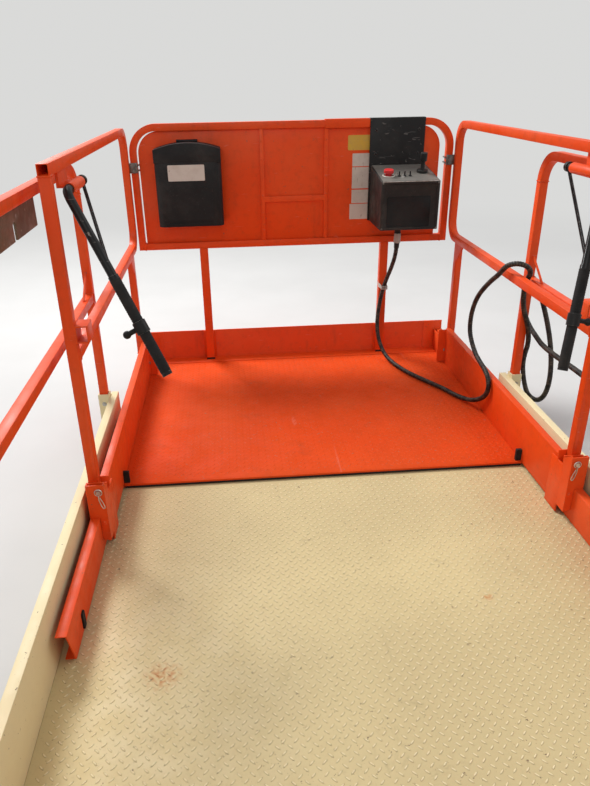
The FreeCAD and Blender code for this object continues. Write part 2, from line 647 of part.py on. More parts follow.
def extension_post():
    """Rear post of the extension's side, from its bracket to the top rail, with the latch pocket beside it."""
    foot = CHANNEL_TOP + BRACKET_WALL + BRACKET_GAP
    post = rail([V(EXTENSION_RAIL_X, EXTENSION_POST_Y, foot),
                 V(EXTENSION_RAIL_X, EXTENSION_POST_Y, EXTENSION_RAIL_TOP - TUBE)])
    post = post.cut(Part.makeCompound(bracket_pins(PIN_R + PIN_CLEARANCE)))
    face = EXTENSION_RAIL_X - HALF_TUBE
    rear = EXTENSION_POST_Y - HALF_TUBE
    wide = (face - POCKET_WIDTH, face)
    tall = (POCKET_BOTTOM, POCKET_BOTTOM + POCKET_HEIGHT)
    pocket = box(wide, (rear, rear + POCKET_LENGTH), tall)
    room = box((wide[0] + POCKET_WALL, wide[1] - POCKET_WALL), (rear - 1, rear + POCKET_LENGTH + 1),
               (tall[0] + POCKET_WALL, tall[1] - POCKET_WALL))
    return fuse([post, pocket.cut(room)])


def extension_rail():
    """Side rail of the extension: one tube from the open rear end of the top rail, down, and back as the mid rail."""
    top = EXTENSION_RAIL_TOP - HALF_TUBE
    mid = EXTENSION_MID_TOP - HALF_TUBE
    rear = EXTENSION_POST_Y - HALF_TUBE
    points = [
        V(EXTENSION_RAIL_X, rear, top), V(EXTENSION_RAIL_X, EXTENSION_FRONT_LEG_Y, top),
        V(EXTENSION_RAIL_X, EXTENSION_FRONT_LEG_Y, mid), V(EXTENSION_RAIL_X, EXTENSION_POST_Y + HALF_TUBE, mid),
    ]
    return rail(points, (EXTENSION_BEND_R, EXTENSION_BEND_R))


def side_front_posts():
    """Short front posts outside the extension's toe boards, up to the mid rails, each with a gusset."""
    top = EXTENSION_MID_TOP - TUBE
    back = SIDE_POST_Y - HALF_TUBE
    posts = []
    for sign in (-1, 1):
        x = sign * SIDE_POST_X
        post = rail([V(x, SIDE_POST_Y, CHANNEL_TOP), V(x, SIDE_POST_Y, top)])
        sheet = sorted((x - sign * HALF_TUBE, x - sign * (HALF_TUBE - GUSSET_SHEET)))
        corner = [(back, top), (back - GUSSET_LENGTH, top), (back, top - GUSSET_LENGTH)]
        posts.append(fuse([post, outline(corner, "yz", sheet[0], sheet[1])]))
    return Part.makeCompound(posts)


def front_hoop():
    """Front frame: an inverted U of tube across the front, with a splice sleeve beside the control box."""
    top = FRONT_TOP - HALF_TUBE
    foot = FRONT_BAR_Z - HALF_TUBE
    y = FRONT_FRAME_Y
    points = [V(-FRONT_HALF, y, foot), V(-FRONT_HALF, y, top), V(FRONT_HALF, y, top), V(FRONT_HALF, y, foot)]
    hoop = rail(points, (FRONT_BEND_R, FRONT_BEND_R), side=Y_AXIS)
    splice = bent([V(SPLICE_LEFT, y, top), V(SPLICE_RIGHT, y, top)], (), lambda place, along: square_section(
        place, along, Y_AXIS, TUBE + 2 * SPLICE_WALL, SPLICE_WALL))
    return fuse([hoop, splice])


def front_bar():
    """Bottom bar of the front frame, between its side tubes."""
    half = FRONT_HALF - HALF_TUBE
    return rail([V(-half, FRONT_FRAME_Y, FRONT_BAR_Z), V(half, FRONT_FRAME_Y, FRONT_BAR_Z)], side=Y_AXIS)


def front_posts():
    """Two posts from the front frame's bottom bar to the toe board's foot, each on a spacer against the board."""
    top = FRONT_BAR_Z - HALF_TUBE
    posts = []
    for sign in (-1, 1):
        x = sign * FRONT_POST_X
        post = rail([V(x, FRONT_FRAME_Y, FRONT_POST_FOOT), V(x, FRONT_FRAME_Y, top)], side=Y_AXIS)
        spacer = box((x - TUBE, x + TUBE), (FRONT_FRAME_Y + HALF_TUBE, EXTENSION_FRONT - FRONT_SHEET),
                     (FRONT_POST_FOOT, FRONT_TOE_TOP))
        posts.append(fuse([post, spacer]))
    return Part.makeCompound(posts)


def front_panel():
    """Sheet panel in the front frame, with rounded upper corners."""
    panel = box((PANEL_LEFT, PANEL_RIGHT), (PANEL_BACK, PANEL_BACK + PANEL_SHEET), (PANEL_LOW, PANEL_HIGH))
    corners = [edge for edge in panel.Edges if is_top_corner(edge)]
    return panel.makeFillet(PANEL_CORNER_R, corners).cut(splice_room())


def splice_room():
    """Room for the splice sleeve's underside, in the pieces that reach up to the front frame's top tube."""
    half = HALF_TUBE + SPLICE_WALL
    return box((SPLICE_LEFT, SPLICE_RIGHT), (FRONT_FRAME_Y - half, FRONT_FRAME_Y + half),
               (PANEL_HIGH - SPLICE_WALL, PANEL_HIGH))


def is_top_corner(edge):
    """Whether an edge of the panel runs through it at one of its upper corners."""
    first, last = edge.Vertexes[0].Point, edge.Vertexes[-1].Point
    return min(first.z, last.z) > PANEL_HIGH - 0.1 and abs(first.x - last.x) < 0.1


def panel_ribs():
    """Two upright ribs on the panel's inner face and a strip between them."""
    depth = (PANEL_BACK - PANEL_RIB_DEPTH, PANEL_BACK)
    half = PANEL_RIB_WIDTH / 2
    ribs = [box((x - half, x + half), depth, (PANEL_LOW, PANEL_HIGH)) for x in (-RIB_X, RIB_X)]
    strip = box((-RIB_X, RIB_X), depth, (CROSS_RIB_Z, CROSS_RIB_Z + CROSS_RIB_HEIGHT))
    return fuse(ribs + [strip]).cut(splice_room())


def rail_clamps():
    """Plates clamped between the front frame's side tubes and the side rails."""
    inner = FRONT_HALF - HALF_TUBE
    outer = EXTENSION_RAIL_X + HALF_TUBE
    y = (FRONT_FRAME_Y - HALF_TUBE - CLAMP_PLATE, FRONT_FRAME_Y - HALF_TUBE)
    z = (CLAMP_Z, CLAMP_Z + CLAMP_HEIGHT)
    return Part.makeCompound([box((-outer, -inner), y, z), box((inner, outer), y, z)])


def domed_face(y, low, inset):
    """The document box's upright outline at a depth: straight sides under a shallow arc, drawn in by an inset."""
    left = BOX_X - BOX_WIDTH / 2 + inset
    right = BOX_X + BOX_WIDTH / 2 - inset
    shoulder = BOX_CROWN - BOX_SHOULDER_DROP - inset
    corners = [V(left, y, low), V(left, y, shoulder), V(right, y, shoulder), V(right, y, low)]
    arc = Part.Arc(corners[1], V(BOX_X, y, BOX_CROWN - inset), corners[2]).toShape()
    edges = [Part.makeLine(corners[0], corners[1]), arc, Part.makeLine(corners[2], corners[3]),
             Part.makeLine(corners[3], corners[0])]
    return Part.Face(Part.Wire(edges))


def document_box():
    """Moulded document box, open at the top, its back plate domed and carrying the lid's hinge pin in two ears."""
    x = (BOX_X - BOX_WIDTH / 2, BOX_X + BOX_WIDTH / 2)
    front = PANEL_BACK - BOX_DEPTH
    shell = rounded_front(x, front, (BOX_BOTTOM, BOX_RIM), BOX_CORNER_R)
    inside = (x[0] + BOX_WALL, x[1] - BOX_WALL)
    room = rounded_front(inside, front + BOX_WALL, (BOX_BOTTOM + BOX_WALL, BOX_RIM + 1), BOX_CORNER_R - BOX_WALL)
    plate = domed_face(PANEL_BACK - BOX_WALL, BOX_BOTTOM, 0).extrude(Y_AXIS * BOX_WALL)
    half = LID_KNUCKLE_LENGTH / 2
    pin = cylinder(V(BOX_X - half - EAR_LENGTH, LID_PIN_Y, LID_PIN_Z), X_AXIS, LID_PIN_R, 2 * (half + EAR_LENGTH))
    ears = []
    for low in (BOX_X - half - EAR_LENGTH, BOX_X + half + LID_GAP):
        length = EAR_LENGTH - LID_GAP
        ears.append(cylinder(V(low, LID_PIN_Y, LID_PIN_Z), X_AXIS, LID_KNUCKLE_R, length))
        ears.append(box((low, low + length), (LID_PIN_Y, PANEL_BACK), (LID_PIN_Z - LID_KNUCKLE_R, LID_PIN_Z + LID_KNUCKLE_R)))
    return fuse([shell.cut(room), plate, pin] + ears)


def rounded_front(x, front, z, radius):
    """A block from a front face back to the panel, its two front upright edges rounded."""
    block = box(x, (front, PANEL_BACK), z)
    upright = [edge for edge in block.Edges if is_upright(edge) and edge.Vertexes[0].Y < PANEL_BACK - 1]
    return block.makeFillet(radius, upright)


def is_upright(edge):
    """Whether an edge runs along Z."""
    first, last = edge.Vertexes[0].Point, edge.Vertexes[-1].Point
    return abs(first.x - last.x) < 0.1 and abs(first.y - last.y) < 0.1


def document_lid():
    """Domed lid of the document box, open at its back, with the middle knuckle of its hinge."""
    back = PANEL_BACK - BOX_WALL - LID_GAP
    front = PANEL_BACK - BOX_DEPTH
    low = BOX_RIM + LID_GAP
    outer = domed_face(front, low, 0).extrude(Y_AXIS * (back - front))
    room = domed_face(front + BOX_WALL, low - 1, BOX_WALL).extrude(Y_AXIS * (back - front))
    half = LID_KNUCKLE_LENGTH / 2
    knuckle = cylinder(V(BOX_X - half, LID_PIN_Y, LID_PIN_Z), X_AXIS, LID_KNUCKLE_R, LID_KNUCKLE_LENGTH)
    bore = cylinder(V(BOX_X - half - 1, LID_PIN_Y, LID_PIN_Z), X_AXIS, LID_PIN_R + LID_GAP, LID_KNUCKLE_LENGTH + 2)
    clear = LID_KNUCKLE_R + LID_GAP
    ear_room = []
    for x in (BOX_X - half - EAR_LENGTH - LID_GAP, BOX_X + half):
        length = EAR_LENGTH + LID_GAP
        ear_room.append(box((x, x + length), (LID_PIN_Y - clear, back + 1), (LID_PIN_Z - clear, LID_PIN_Z + clear)))
    return fuse([outer.cut(room), knuckle]).cut(fuse([bore] + ear_room))


def control_box():
    """Control box: a wedge-topped housing with a recess in the face towards the operator."""
    profile = [(CONTROL_REAR_Y, CONTROL_BOTTOM), (CONTROL_FAR_Y, CONTROL_BOTTOM), (CONTROL_FAR_Y, CONTROL_FAR_TOP),
               (CONTROL_REAR_Y, CONTROL_NEAR_TOP)]
    housing = outline(profile, "yz", CONTROL_LEFT, CONTROL_RIGHT)
    recess = box((CONTROL_LEFT + CONTROL_RIM, CONTROL_RIGHT - CONTROL_RIM),
                 (CONTROL_REAR_Y - 1, CONTROL_REAR_Y + CONTROL_RECESS),
                 (CONTROL_BOTTOM + CONTROL_RIM, CONTROL_NEAR_TOP - CONTROL_RIM))
    return housing.cut(recess)


def panel_point(x, inward):
    """A point on the sloping top of the control box, measured in from the edge near the operator."""
    slope = (CONTROL_FAR_TOP - CONTROL_NEAR_TOP) / CONTROL_DEPTH
    return V(x, CONTROL_REAR_Y + inward, CONTROL_NEAR_TOP + slope * inward)


def panel_normal():
    """Direction square to the sloping top of the control box."""
    slope = (CONTROL_FAR_TOP - CONTROL_NEAR_TOP) / CONTROL_DEPTH
    return V(0, -slope, 1).normalize()


def control_switches():
    """Control lever and toggle switches on the sloping top."""
    normal = panel_normal()
    lever = panel_point(CONTROL_RIGHT - LEVER_INSET, 120.0)
    pieces = [fuse([
        cylinder(lever, normal, 24.0, 12.0),
        cylinder(lever, normal, 9.0, 62.0),
        cylinder(lever + normal * 50.0, normal, 15.0, 34.0),
    ])]
    first = CONTROL_LEFT + 2 * STOP_INSET
    for column in range(SWITCH_COUNT):
        seat = panel_point(first + column * SWITCH_PITCH, 70.0)
        pieces.append(fuse([cylinder(seat, normal, 7.0, 5.0), cylinder(seat, normal, 3.0, 22.0)]))
    return Part.makeCompound(pieces)


def stop_button():
    """Mushroom stop button on a collar."""
    normal = panel_normal()
    seat = panel_point(CONTROL_LEFT + STOP_INSET, 80.0)
    return fuse([cylinder(seat, normal, STOP_R * 2 / 3, 16.0), cylinder(seat + normal * 14.0, normal, STOP_R, 14.0)])


def control_guard():
    """Black plate that carries the control box and hooks over the front frame's top tube."""
    near = CONTROL_FAR_Y
    far = FRONT_FRAME_Y + HALF_TUBE
    top = FRONT_TOP
    profile = [
        (near, CONTROL_BOTTOM), (near + GUARD_WALL, CONTROL_BOTTOM), (near + GUARD_WALL, top), (far, top),
        (far, top - GUARD_HOOK), (far + GUARD_WALL, top - GUARD_HOOK), (far + GUARD_WALL, top + GUARD_WALL),
        (near, top + GUARD_WALL),
    ]
    return outline(profile, "yz", GUARD_LEFT, GUARD_RIGHT)


def handle_sleeve():
    """Sleeve under the extension's top rail that the push handle turns in, hung from the rail by a folded plate."""
    outer_r = HANDLE_ROD_R + SLEEVE_CLEARANCE + SLEEVE_WALL
    start = V(HANDLE_X, SLEEVE_REAR_Y, HANDLE_Z)
    ring = cylinder(start, Y_AXIS, outer_r, SLEEVE_LENGTH)
    along = (SLEEVE_REAR_Y + 2 * SLEEVE_HANGER, SLEEVE_REAR_Y + SLEEVE_LENGTH - 2 * SLEEVE_HANGER)
    half = SLEEVE_HANGER / 2
    hanger = box((HANDLE_X, EXTENSION_RAIL_X + half), along, (HANDLE_Z, HANDLE_Z + SLEEVE_HANGER))
    upright = box((EXTENSION_RAIL_X - half, EXTENSION_RAIL_X + half), along, (HANDLE_Z, EXTENSION_RAIL_TOP - TUBE))
    bore = cylinder(start - Y_AXIS, Y_AXIS, HANDLE_ROD_R + SLEEVE_CLEARANCE, SLEEVE_LENGTH + 2)
    return fuse([ring, hanger, upright]).cut(bore)


def push_handle(swing):
    """Push handle: a rod through the sleeve, a leg with a grip, a thin brace, and a collar with a knob."""
    front = V(HANDLE_X, HANDLE_FRONT_Y, HANDLE_Z)
    elbow = V(HANDLE_X, HANDLE_ELBOW_Y, HANDLE_Z)
    end = elbow - Y_AXIS * HANDLE_BACK - Z_AXIS * HANDLE_DROP
    run = end - elbow
    along = V(run).normalize()
    grip_start = elbow + run * GRIP_START
    junction = elbow + run * BRACE_JUNCTION
    brace_top = front - Z_AXIS * (HANDLE_CAP_R - BRACE_R)
    collar_start = elbow + run * COLLAR_PLACE
    knob_start = collar_start + along * (COLLAR_LENGTH / 2)
    handle = fuse([
        rod([front, elbow, end], (HANDLE_BEND_R,), HANDLE_ROD_R),
        cylinder(front, Y_AXIS, HANDLE_CAP_R, HANDLE_CAP_LENGTH),
        cylinder(grip_start, along, HANDLE_GRIP_R, run.Length * (1 - GRIP_START)),
        cylinder(junction, (brace_top - junction).normalize(), BRACE_R, (brace_top - junction).Length),
        cylinder(collar_start, along, COLLAR_R, COLLAR_LENGTH),
        cylinder(knob_start, X_AXIS, KNOB_R, KNOB_LENGTH),
        Part.makeSphere(KNOB_BALL_R, knob_start + X_AXIS * KNOB_LENGTH),
    ])
    handle.rotate(elbow, Y_AXIS, swing)
    return handle


def cable_gland():
    """Gland under the control box."""
    top = CABLE_ROUTE[0] + Z_AXIS * GLAND_LENGTH
    nut = cylinder(top - Z_AXIS * GLAND_NUT, Z_AXIS, GLAND_R, GLAND_NUT)
    neck = cylinder(CABLE_ROUTE[0], Z_AXIS, GLAND_NECK_R, GLAND_LENGTH)
    return fuse([nut, neck])


def feed_gland():
    """Gland block on the outside of the right toe board, where the feed cable goes in."""
    half = GLAND_R + TUBE_WALL
    near = FEED_END - Y_AXIS * FEED_NECK
    block = box((DECK_HALF + SHEET, FEED_END.x + GLAND_R), (near.y - FEED_BLOCK, near.y),
                (FEED_END.z - half, FEED_END.z + half))
    return fuse([block, cylinder(near, Y_AXIS, GLAND_NECK_R, FEED_NECK)])


def on_route(x, ahead, z):
    """A point of the cable's route, its place along Y given in reaches ahead of the fixed deck's front edge."""
    return V(x, FIXED_FRONT + ahead * REACH, z)


# Route of the cable, from the gland under the control box to the gland on the fixed deck
CABLE_ROUTE = [V(455, FIXED_FRONT + 0.75 * REACH, CONTROL_BOTTOM - GLAND_LENGTH)] + [on_route(*row) for row in (
    (455, 0.750, 735), (454, 0.770, 675), (449, 0.828, 610), (438, 0.885, 543), (425, 0.918, 470),
    (413, 0.920, 395), (405, 0.904, 322), (408, 0.874, 254), (424, 0.831, 198), (444, 0.766, 168),
    (464, 0.680, 162), (487, 0.582, 162), (521, 0.482, 162), (566, 0.380, 162), (613, 0.274, 162),
    (652, 0.169, 162), (682, 0.069, 166), (699, -0.023, 178), (704, -0.101, 206), (705, -0.139, 262),
    (704, -0.108, 318), (703, -0.031, 344), (702, 0.055, 346), (701, 0.139, 352), (700, 0.209, 384),
    (699, 0.245, 440), (698, 0.247, 504), (698, 0.215, 564), (698, 0.164, 616), (701, 0.096, 663),
    (704, 0.028, 704), (709, -0.034, 737), (707, -0.084, 766), (712, -0.124, 792), (739, -0.157, 804),
    (774, -0.168, 794), (796, -0.154, 766), (794, -0.126, 736), (793, -0.108, 702), (799, -0.095, 662),
    (806, -0.093, 615), (824, -0.093, 569), (841, -0.093, 519), (848, -0.089, 462), (856, -0.043, 412),
    (862, -0.022, 353), (871, -0.035, 291), (872, -0.099, 246), (884, -0.186, 246), (886, -0.255, 292),
    (888, -0.277, 360), (892, -0.253, 430), (895, -0.204, 496), (891, -0.153, 560), (882, -0.104, 622),
    (876, -0.042, 676), (876, 0.036, 706), (881, 0.118, 698), (888, 0.172, 650), (892, 0.177, 586),
    (891, 0.126, 534), (888, 0.042, 504), (882, -0.061, 492), (868, -0.182, 488), (862, -0.311, 492),
    (862, -0.453, 497), (864, -0.601, 502), (864, -0.750, 501), (863, -0.892, 492), (862, -1.031, 474),
    (859, -1.169, 444), (854, -1.301, 400), (847, -1.426, 345), (836, -1.541, 286), (824, -1.642, 236),
    (818, -1.739, 205), (818, -1.831, 205),
)]
# The runs of the route in whose middle one stretch of the cable ends and the next begins
CROSSING_RUN = 35
TIE_RUN = 55
FEED_END = CABLE_ROUTE[-1]


def route_stretch(first_run, last_run):
    """Points of the route from the middle of one run to the middle of another."""
    def middle(run):
        return (CABLE_ROUTE[run] + CABLE_ROUTE[run + 1]) * 0.5

    start = [CABLE_ROUTE[0]] if first_run is None else [middle(first_run)]
    end = [CABLE_ROUTE[-1]] if last_run is None else [middle(last_run)]
    inner = slice(1 if first_run is None else first_run + 1, -1 if last_run is None else last_run + 1)
    return start + CABLE_ROUTE[inner] + end


def cable(route):
    """Plain tube along a route, its arcs as large as the runs allow; a stretch's end runs hold one arc each."""
    rooms = [0.45 * (after - before).Length for before, after in zip(route, route[1:])]
    rooms[0] *= 2
    rooms[-1] *= 2
    radii = []
    for index, corner in enumerate(route[1:-1]):
        turn = (corner - route[index]).getAngle(route[index + 2] - corner)
        radii.append(min(rooms[index], rooms[index + 1]) / math.tan(turn / 2))
    path = []
    start = route[0]
    for index, corner in enumerate(route[1:-1]):
        inward_run = (corner - route[index]).normalize()
        outward_run = (route[index + 2] - corner).normalize()
        turn = inward_run.getAngle(outward_run)
        setback = radii[index] * math.tan(turn / 2)
        bend_start = corner - inward_run * setback
        bend_end = corner + outward_run * setback
        middle = (outward_run - inward_run).normalize() * (radii[index] / math.cos(turn / 2) - radii[index])
        path.append(Part.makeLine(start, bend_start))
        path.append(Part.Arc(bend_start, corner + middle, bend_end).toShape())
        start = bend_end
    path.append(Part.makeLine(start, route[-1]))
    wire = Part.Wire(path)
    section = Part.Wire(Part.makeCircle(CABLE_R, route[0], route[1] - route[0]))
    tube = wire.makePipeShell([section], True, True)
    expected = math.pi * CABLE_R ** 2 * wire.Length
    print("cable length", round(wire.Length), "tightest bends", sorted(round(radius) for radius in radii)[:4],
          "volume ratio", round(tube.Volume / expected, 4))
    return tube


def save(name, shape):
    """Write one piece as a STEP file."""
    if not shape.isValid():
        raise ValueError(name + " is not a valid shape")
    shape.exportStep("parts/" + name + ".step")


PIECES = {
    "cross_members": cross_members,
    "deck_plate": deck_plate,
    "rear_toe_boards": rear_toe_boards,
    "rear_rails": rear_rails,
    "gate_posts": gate_posts,
    "gate_frame": gate_frame,
    "gate_toe_plate": gate_toe_plate,
    "extension_deck": extension_deck,
    "deck_edge_strip": deck_edge_strip,
    "front_toe_board": front_toe_board,
    "side_front_posts": side_front_posts,
    "front_hoop": front_hoop,
    "front_bar": front_bar,
    "front_posts": front_posts,
    "front_panel": front_panel,
    "panel_ribs": panel_ribs,
    "rail_clamps": rail_clamps,
    "document_box": document_box,
    "document_lid": document_lid,
    "control_box": control_box,
    "control_switches": control_switches,
    "stop_button": stop_button,
    "control_guard": control_guard,
    "right_push_handle": lambda: push_handle(RIGHT_HANDLE_SWING),
    "left_push_handle": lambda: push_handle(LEFT_HANDLE_SWING).mirror(V(0, 0, 0), X_AXIS),
    "cable_gland": cable_gland,
    "feed_gland": feed_gland,
    "control_cable": lambda: cable(route_stretch(None, CROSSING_RUN)),
    "cable_loop": lambda: cable(route_stretch(CROSSING_RUN, TIE_RUN)),
    "feed_cable": lambda: cable(route_stretch(TIE_RUN, None)),
}

PAIRED_PIECES = {
    "track_channel": track_channel,
    "toe_board": toe_board,
    "top_rail": top_rail,
    "rail_posts": rail_posts,
    "mid_rails": mid_rails,
    "rail_sockets": rail_sockets,
    "lock_rack": lock_rack,
    "track_rollers": track_rollers,
    "side_channel": side_channel,
    "side_toe": side_toe,
    "post_bracket": post_bracket,
    "extension_post": extension_post,
    "extension_rail": extension_rail,
    "handle_sleeve": handle_sleeve,
}


def main():
    os.makedirs("parts", exist_ok=True)
    for name, make in PIECES.items():
        save(name, make())
    for name, make in PAIRED_PIECES.items():
        right = make()
        save("right_" + name, right)
        save("left_" + name, right.mirror(V(0, 0, 0), X_AXIS))


main()
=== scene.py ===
"""Dresses a guard-railed work platform with a roll-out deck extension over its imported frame.

Sizes are in metres. X points right, Y points forward, towards the extension, and Z points up.
"""
import json
import math

import bmesh
import bpy
from mathutils import Matrix, Vector


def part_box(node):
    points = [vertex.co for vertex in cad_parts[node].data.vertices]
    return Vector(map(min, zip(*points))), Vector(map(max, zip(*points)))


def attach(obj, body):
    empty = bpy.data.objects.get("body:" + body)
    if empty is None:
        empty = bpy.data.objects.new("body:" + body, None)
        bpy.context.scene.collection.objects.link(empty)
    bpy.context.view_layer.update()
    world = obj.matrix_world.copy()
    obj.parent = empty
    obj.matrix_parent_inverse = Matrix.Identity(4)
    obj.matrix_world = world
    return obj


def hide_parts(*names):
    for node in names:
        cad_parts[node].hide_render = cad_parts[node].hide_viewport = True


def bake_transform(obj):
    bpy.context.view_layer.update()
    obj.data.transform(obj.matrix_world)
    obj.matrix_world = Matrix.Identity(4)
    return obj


bl_info = {
    "name": "Scissor Lift Platform",
    "version": (1, 0, 0),
    "blender": (4, 5, 0),
    "location": "3D View > Sidebar > Platform",
    "description": "Finishes a guard-railed work platform with its roll-out deck extension",
    "category": "Object",
}

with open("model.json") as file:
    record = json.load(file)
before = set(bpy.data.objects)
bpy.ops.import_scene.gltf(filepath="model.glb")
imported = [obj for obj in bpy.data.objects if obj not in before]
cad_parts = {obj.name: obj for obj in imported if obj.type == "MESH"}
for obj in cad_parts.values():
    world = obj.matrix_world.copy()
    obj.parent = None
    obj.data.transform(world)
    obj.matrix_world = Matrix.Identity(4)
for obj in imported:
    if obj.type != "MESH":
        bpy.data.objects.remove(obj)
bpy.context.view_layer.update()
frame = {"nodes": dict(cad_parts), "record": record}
RECORD = frame["record"]
BODY_OF = {node: body for body, nodes in RECORD["behaviour"]["bodies"].items() for node in nodes}
SLOT_OF = {row["node"]: row["material_slot"] for row in RECORD["subparts"]}

TUBE = 0.030
TREAD_RISE = 0.0016
SIDES = (("left", -1), ("right", 1))
SIGNS = (-1, 1)
X_AXIS, Y_AXIS, Z_AXIS = (Vector(row) for row in ((1, 0, 0), (0, 1, 0), (0, 0, 1)))
PLANE_OF = {"x": (Y_AXIS, Z_AXIS), "y": (X_AXIS, Z_AXIS), "z": (X_AXIS, Y_AXIS)}
# Colour that the floor and the world melt into, away from the platform
BACKDROP = (0.70, 0.70, 0.69)

# Points of the cable's route, from the gland under the control box to the gland on the fixed deck
CABLE_ROUTE = (
    (0.455, 1.5800, 0.790), (0.455, 1.5800, 0.735), (0.454, 1.5948, 0.675), (0.449, 1.6377, 0.610),
    (0.438, 1.6799, 0.543), (0.425, 1.7043, 0.470), (0.413, 1.7058, 0.395), (0.405, 1.6940, 0.322),
    (0.408, 1.6718, 0.254), (0.424, 1.6399, 0.198), (0.444, 1.5918, 0.168), (0.464, 1.5282, 0.162),
    (0.487, 1.4557, 0.162), (0.521, 1.3817, 0.162), (0.566, 1.3062, 0.162), (0.613, 1.2278, 0.162),
    (0.650, 1.1420, 0.162), (0.677, 1.0800, 0.171), (0.693, 1.0250, 0.196), (0.702, 0.9720, 0.235),
    (0.704, 0.9430, 0.282), (0.704, 0.9600, 0.325), (0.703, 1.0080, 0.346), (0.702, 1.0657, 0.354),
    (0.701, 1.1230, 0.370), (0.700, 1.1760, 0.404), (0.699, 1.2063, 0.440), (0.698, 1.2078, 0.504),
    (0.698, 1.1841, 0.564), (0.698, 1.1464, 0.616), (0.701, 1.0960, 0.663), (0.704, 1.0457, 0.704),
    (0.709, 0.9998, 0.737), (0.707, 0.9628, 0.766), (0.712, 0.9332, 0.792), (0.739, 0.9088, 0.804),
    (0.774, 0.9007, 0.794), (0.796, 0.9110, 0.766), (0.794, 0.9318, 0.736), (0.793, 0.9451, 0.702),
    (0.799, 0.9547, 0.662), (0.806, 0.9562, 0.615), (0.824, 0.9562, 0.569), (0.841, 0.9562, 0.519),
    (0.848, 0.9591, 0.462), (0.856, 0.9932, 0.412), (0.862, 1.0087, 0.353), (0.871, 0.9991, 0.291),
    (0.872, 0.9517, 0.246), (0.884, 0.8874, 0.246), (0.886, 0.8363, 0.292), (0.888, 0.8200, 0.360),
    (0.892, 0.8378, 0.430), (0.895, 0.8740, 0.496), (0.891, 0.9118, 0.560), (0.882, 0.9480, 0.622),
    (0.876, 0.9939, 0.676), (0.876, 1.0516, 0.706), (0.881, 1.1123, 0.698), (0.888, 1.1523, 0.650),
    (0.892, 1.1560, 0.586), (0.891, 1.1182, 0.534), (0.888, 1.0561, 0.504), (0.882, 0.9799, 0.492),
    (0.868, 0.8903, 0.488), (0.862, 0.7949, 0.492), (0.862, 0.6898, 0.497), (0.864, 0.5803, 0.502),
    (0.864, 0.4700, 0.501), (0.863, 0.3649, 0.492), (0.862, 0.2621, 0.474), (0.859, 0.1599, 0.444),
    (0.854, 0.0623, 0.400), (0.847, -0.0302, 0.345), (0.836, -0.1153, 0.286), (0.824, -0.1901, 0.236),
    (0.818, -0.2619, 0.205), (0.818, -0.3299, 0.205),
)
CABLE_RADIUS = 0.010
SHEATH_GROOVE = 0.0012
RELIEF_LENGTH = 0.075

# Push handles: the elbow, the leg's run when it hangs straight down, and how far each is swung inwards
HANDLE_ELBOW = Vector((0.714, 0.385, 1.175))
HANDLE_LEG = Vector((0.0, -0.151, -0.512))
HANDLE_SWING = {"left": math.radians(26.5), "right": math.radians(12.0)}
GRIP_RADIUS = 0.0142
GRIP_SHARE = (0.47, 0.985)

# Control box: its near edge above its underside, and how much its top rises away from the operator
CONTROL_NEAR_HEIGHT = 0.205
CONTROL_SLOPE = 0.040 / 0.248

# How far the folded shoe reaches behind the bracket of the extension's rear post
SHOE_LENGTH = 0.047

# Where the middle posts of the fixed rails and the front posts of the extension stand
MIDDLE_POST_Y = -0.530
FRONT_POST_X = 0.430
# How far the toe boards' caps end short of the front corners
CAP_SHORT = 0.195
# Blank white stickers on the panel: their centres along X and Z, their widths and heights
WHITE_STICKERS = ((0.311, 1.0885, 0.088, 0.056), (0.311, 1.0100, 0.088, 0.094),
                  (0.311, 0.9275, 0.088, 0.060),
                  (0.306, 0.8590, 0.094, 0.070))
# Tie round the cable and the right front post: corners along X and Y, and the heights of its turns
TIE_CORNERS = ((0.4180, 1.6800), (0.4440, 1.6800), (0.4475, 1.7220), (0.4475, 1.7545), (0.4125, 1.7545),
               (0.4125, 1.7220))
TIE_HEIGHT = 0.505
TIE_TURNS = (-0.009, -0.003, 0.004)


class PlatformFinish(bpy.types.PropertyGroup):
    """Colours of the platform's paints and mouldings."""
    orange: bpy.props.FloatVectorProperty(
        name="Orange paint", description="Rails, extension and gate", subtype="COLOR", min=0, max=1,
        default=(0.78, 0.070, 0.007))
    cream: bpy.props.FloatVectorProperty(
        name="Cream paint", description="Fixed deck and its toe boards", subtype="COLOR", min=0, max=1,
        default=(0.70, 0.575, 0.305))
    black: bpy.props.FloatVectorProperty(
        name="Black steel", description="Push handles and guard plate", subtype="COLOR", min=0, max=1,
        default=(0.008, 0.008, 0.008))
    moulding: bpy.props.FloatVectorProperty(
        name="Black moulding", description="Document box and its lid", subtype="COLOR", min=0, max=1,
        default=(0.011, 0.0115, 0.012))
    grey: bpy.props.FloatVectorProperty(
        name="Grey housing", description="Control box and glands", subtype="COLOR", min=0, max=1,
        default=(0.019, 0.018, 0.017))
    rack: bpy.props.FloatVectorProperty(
        name="Dark steel", description="Notched lock racks", subtype="COLOR", min=0, max=1,
        default=(0.130, 0.082, 0.050))


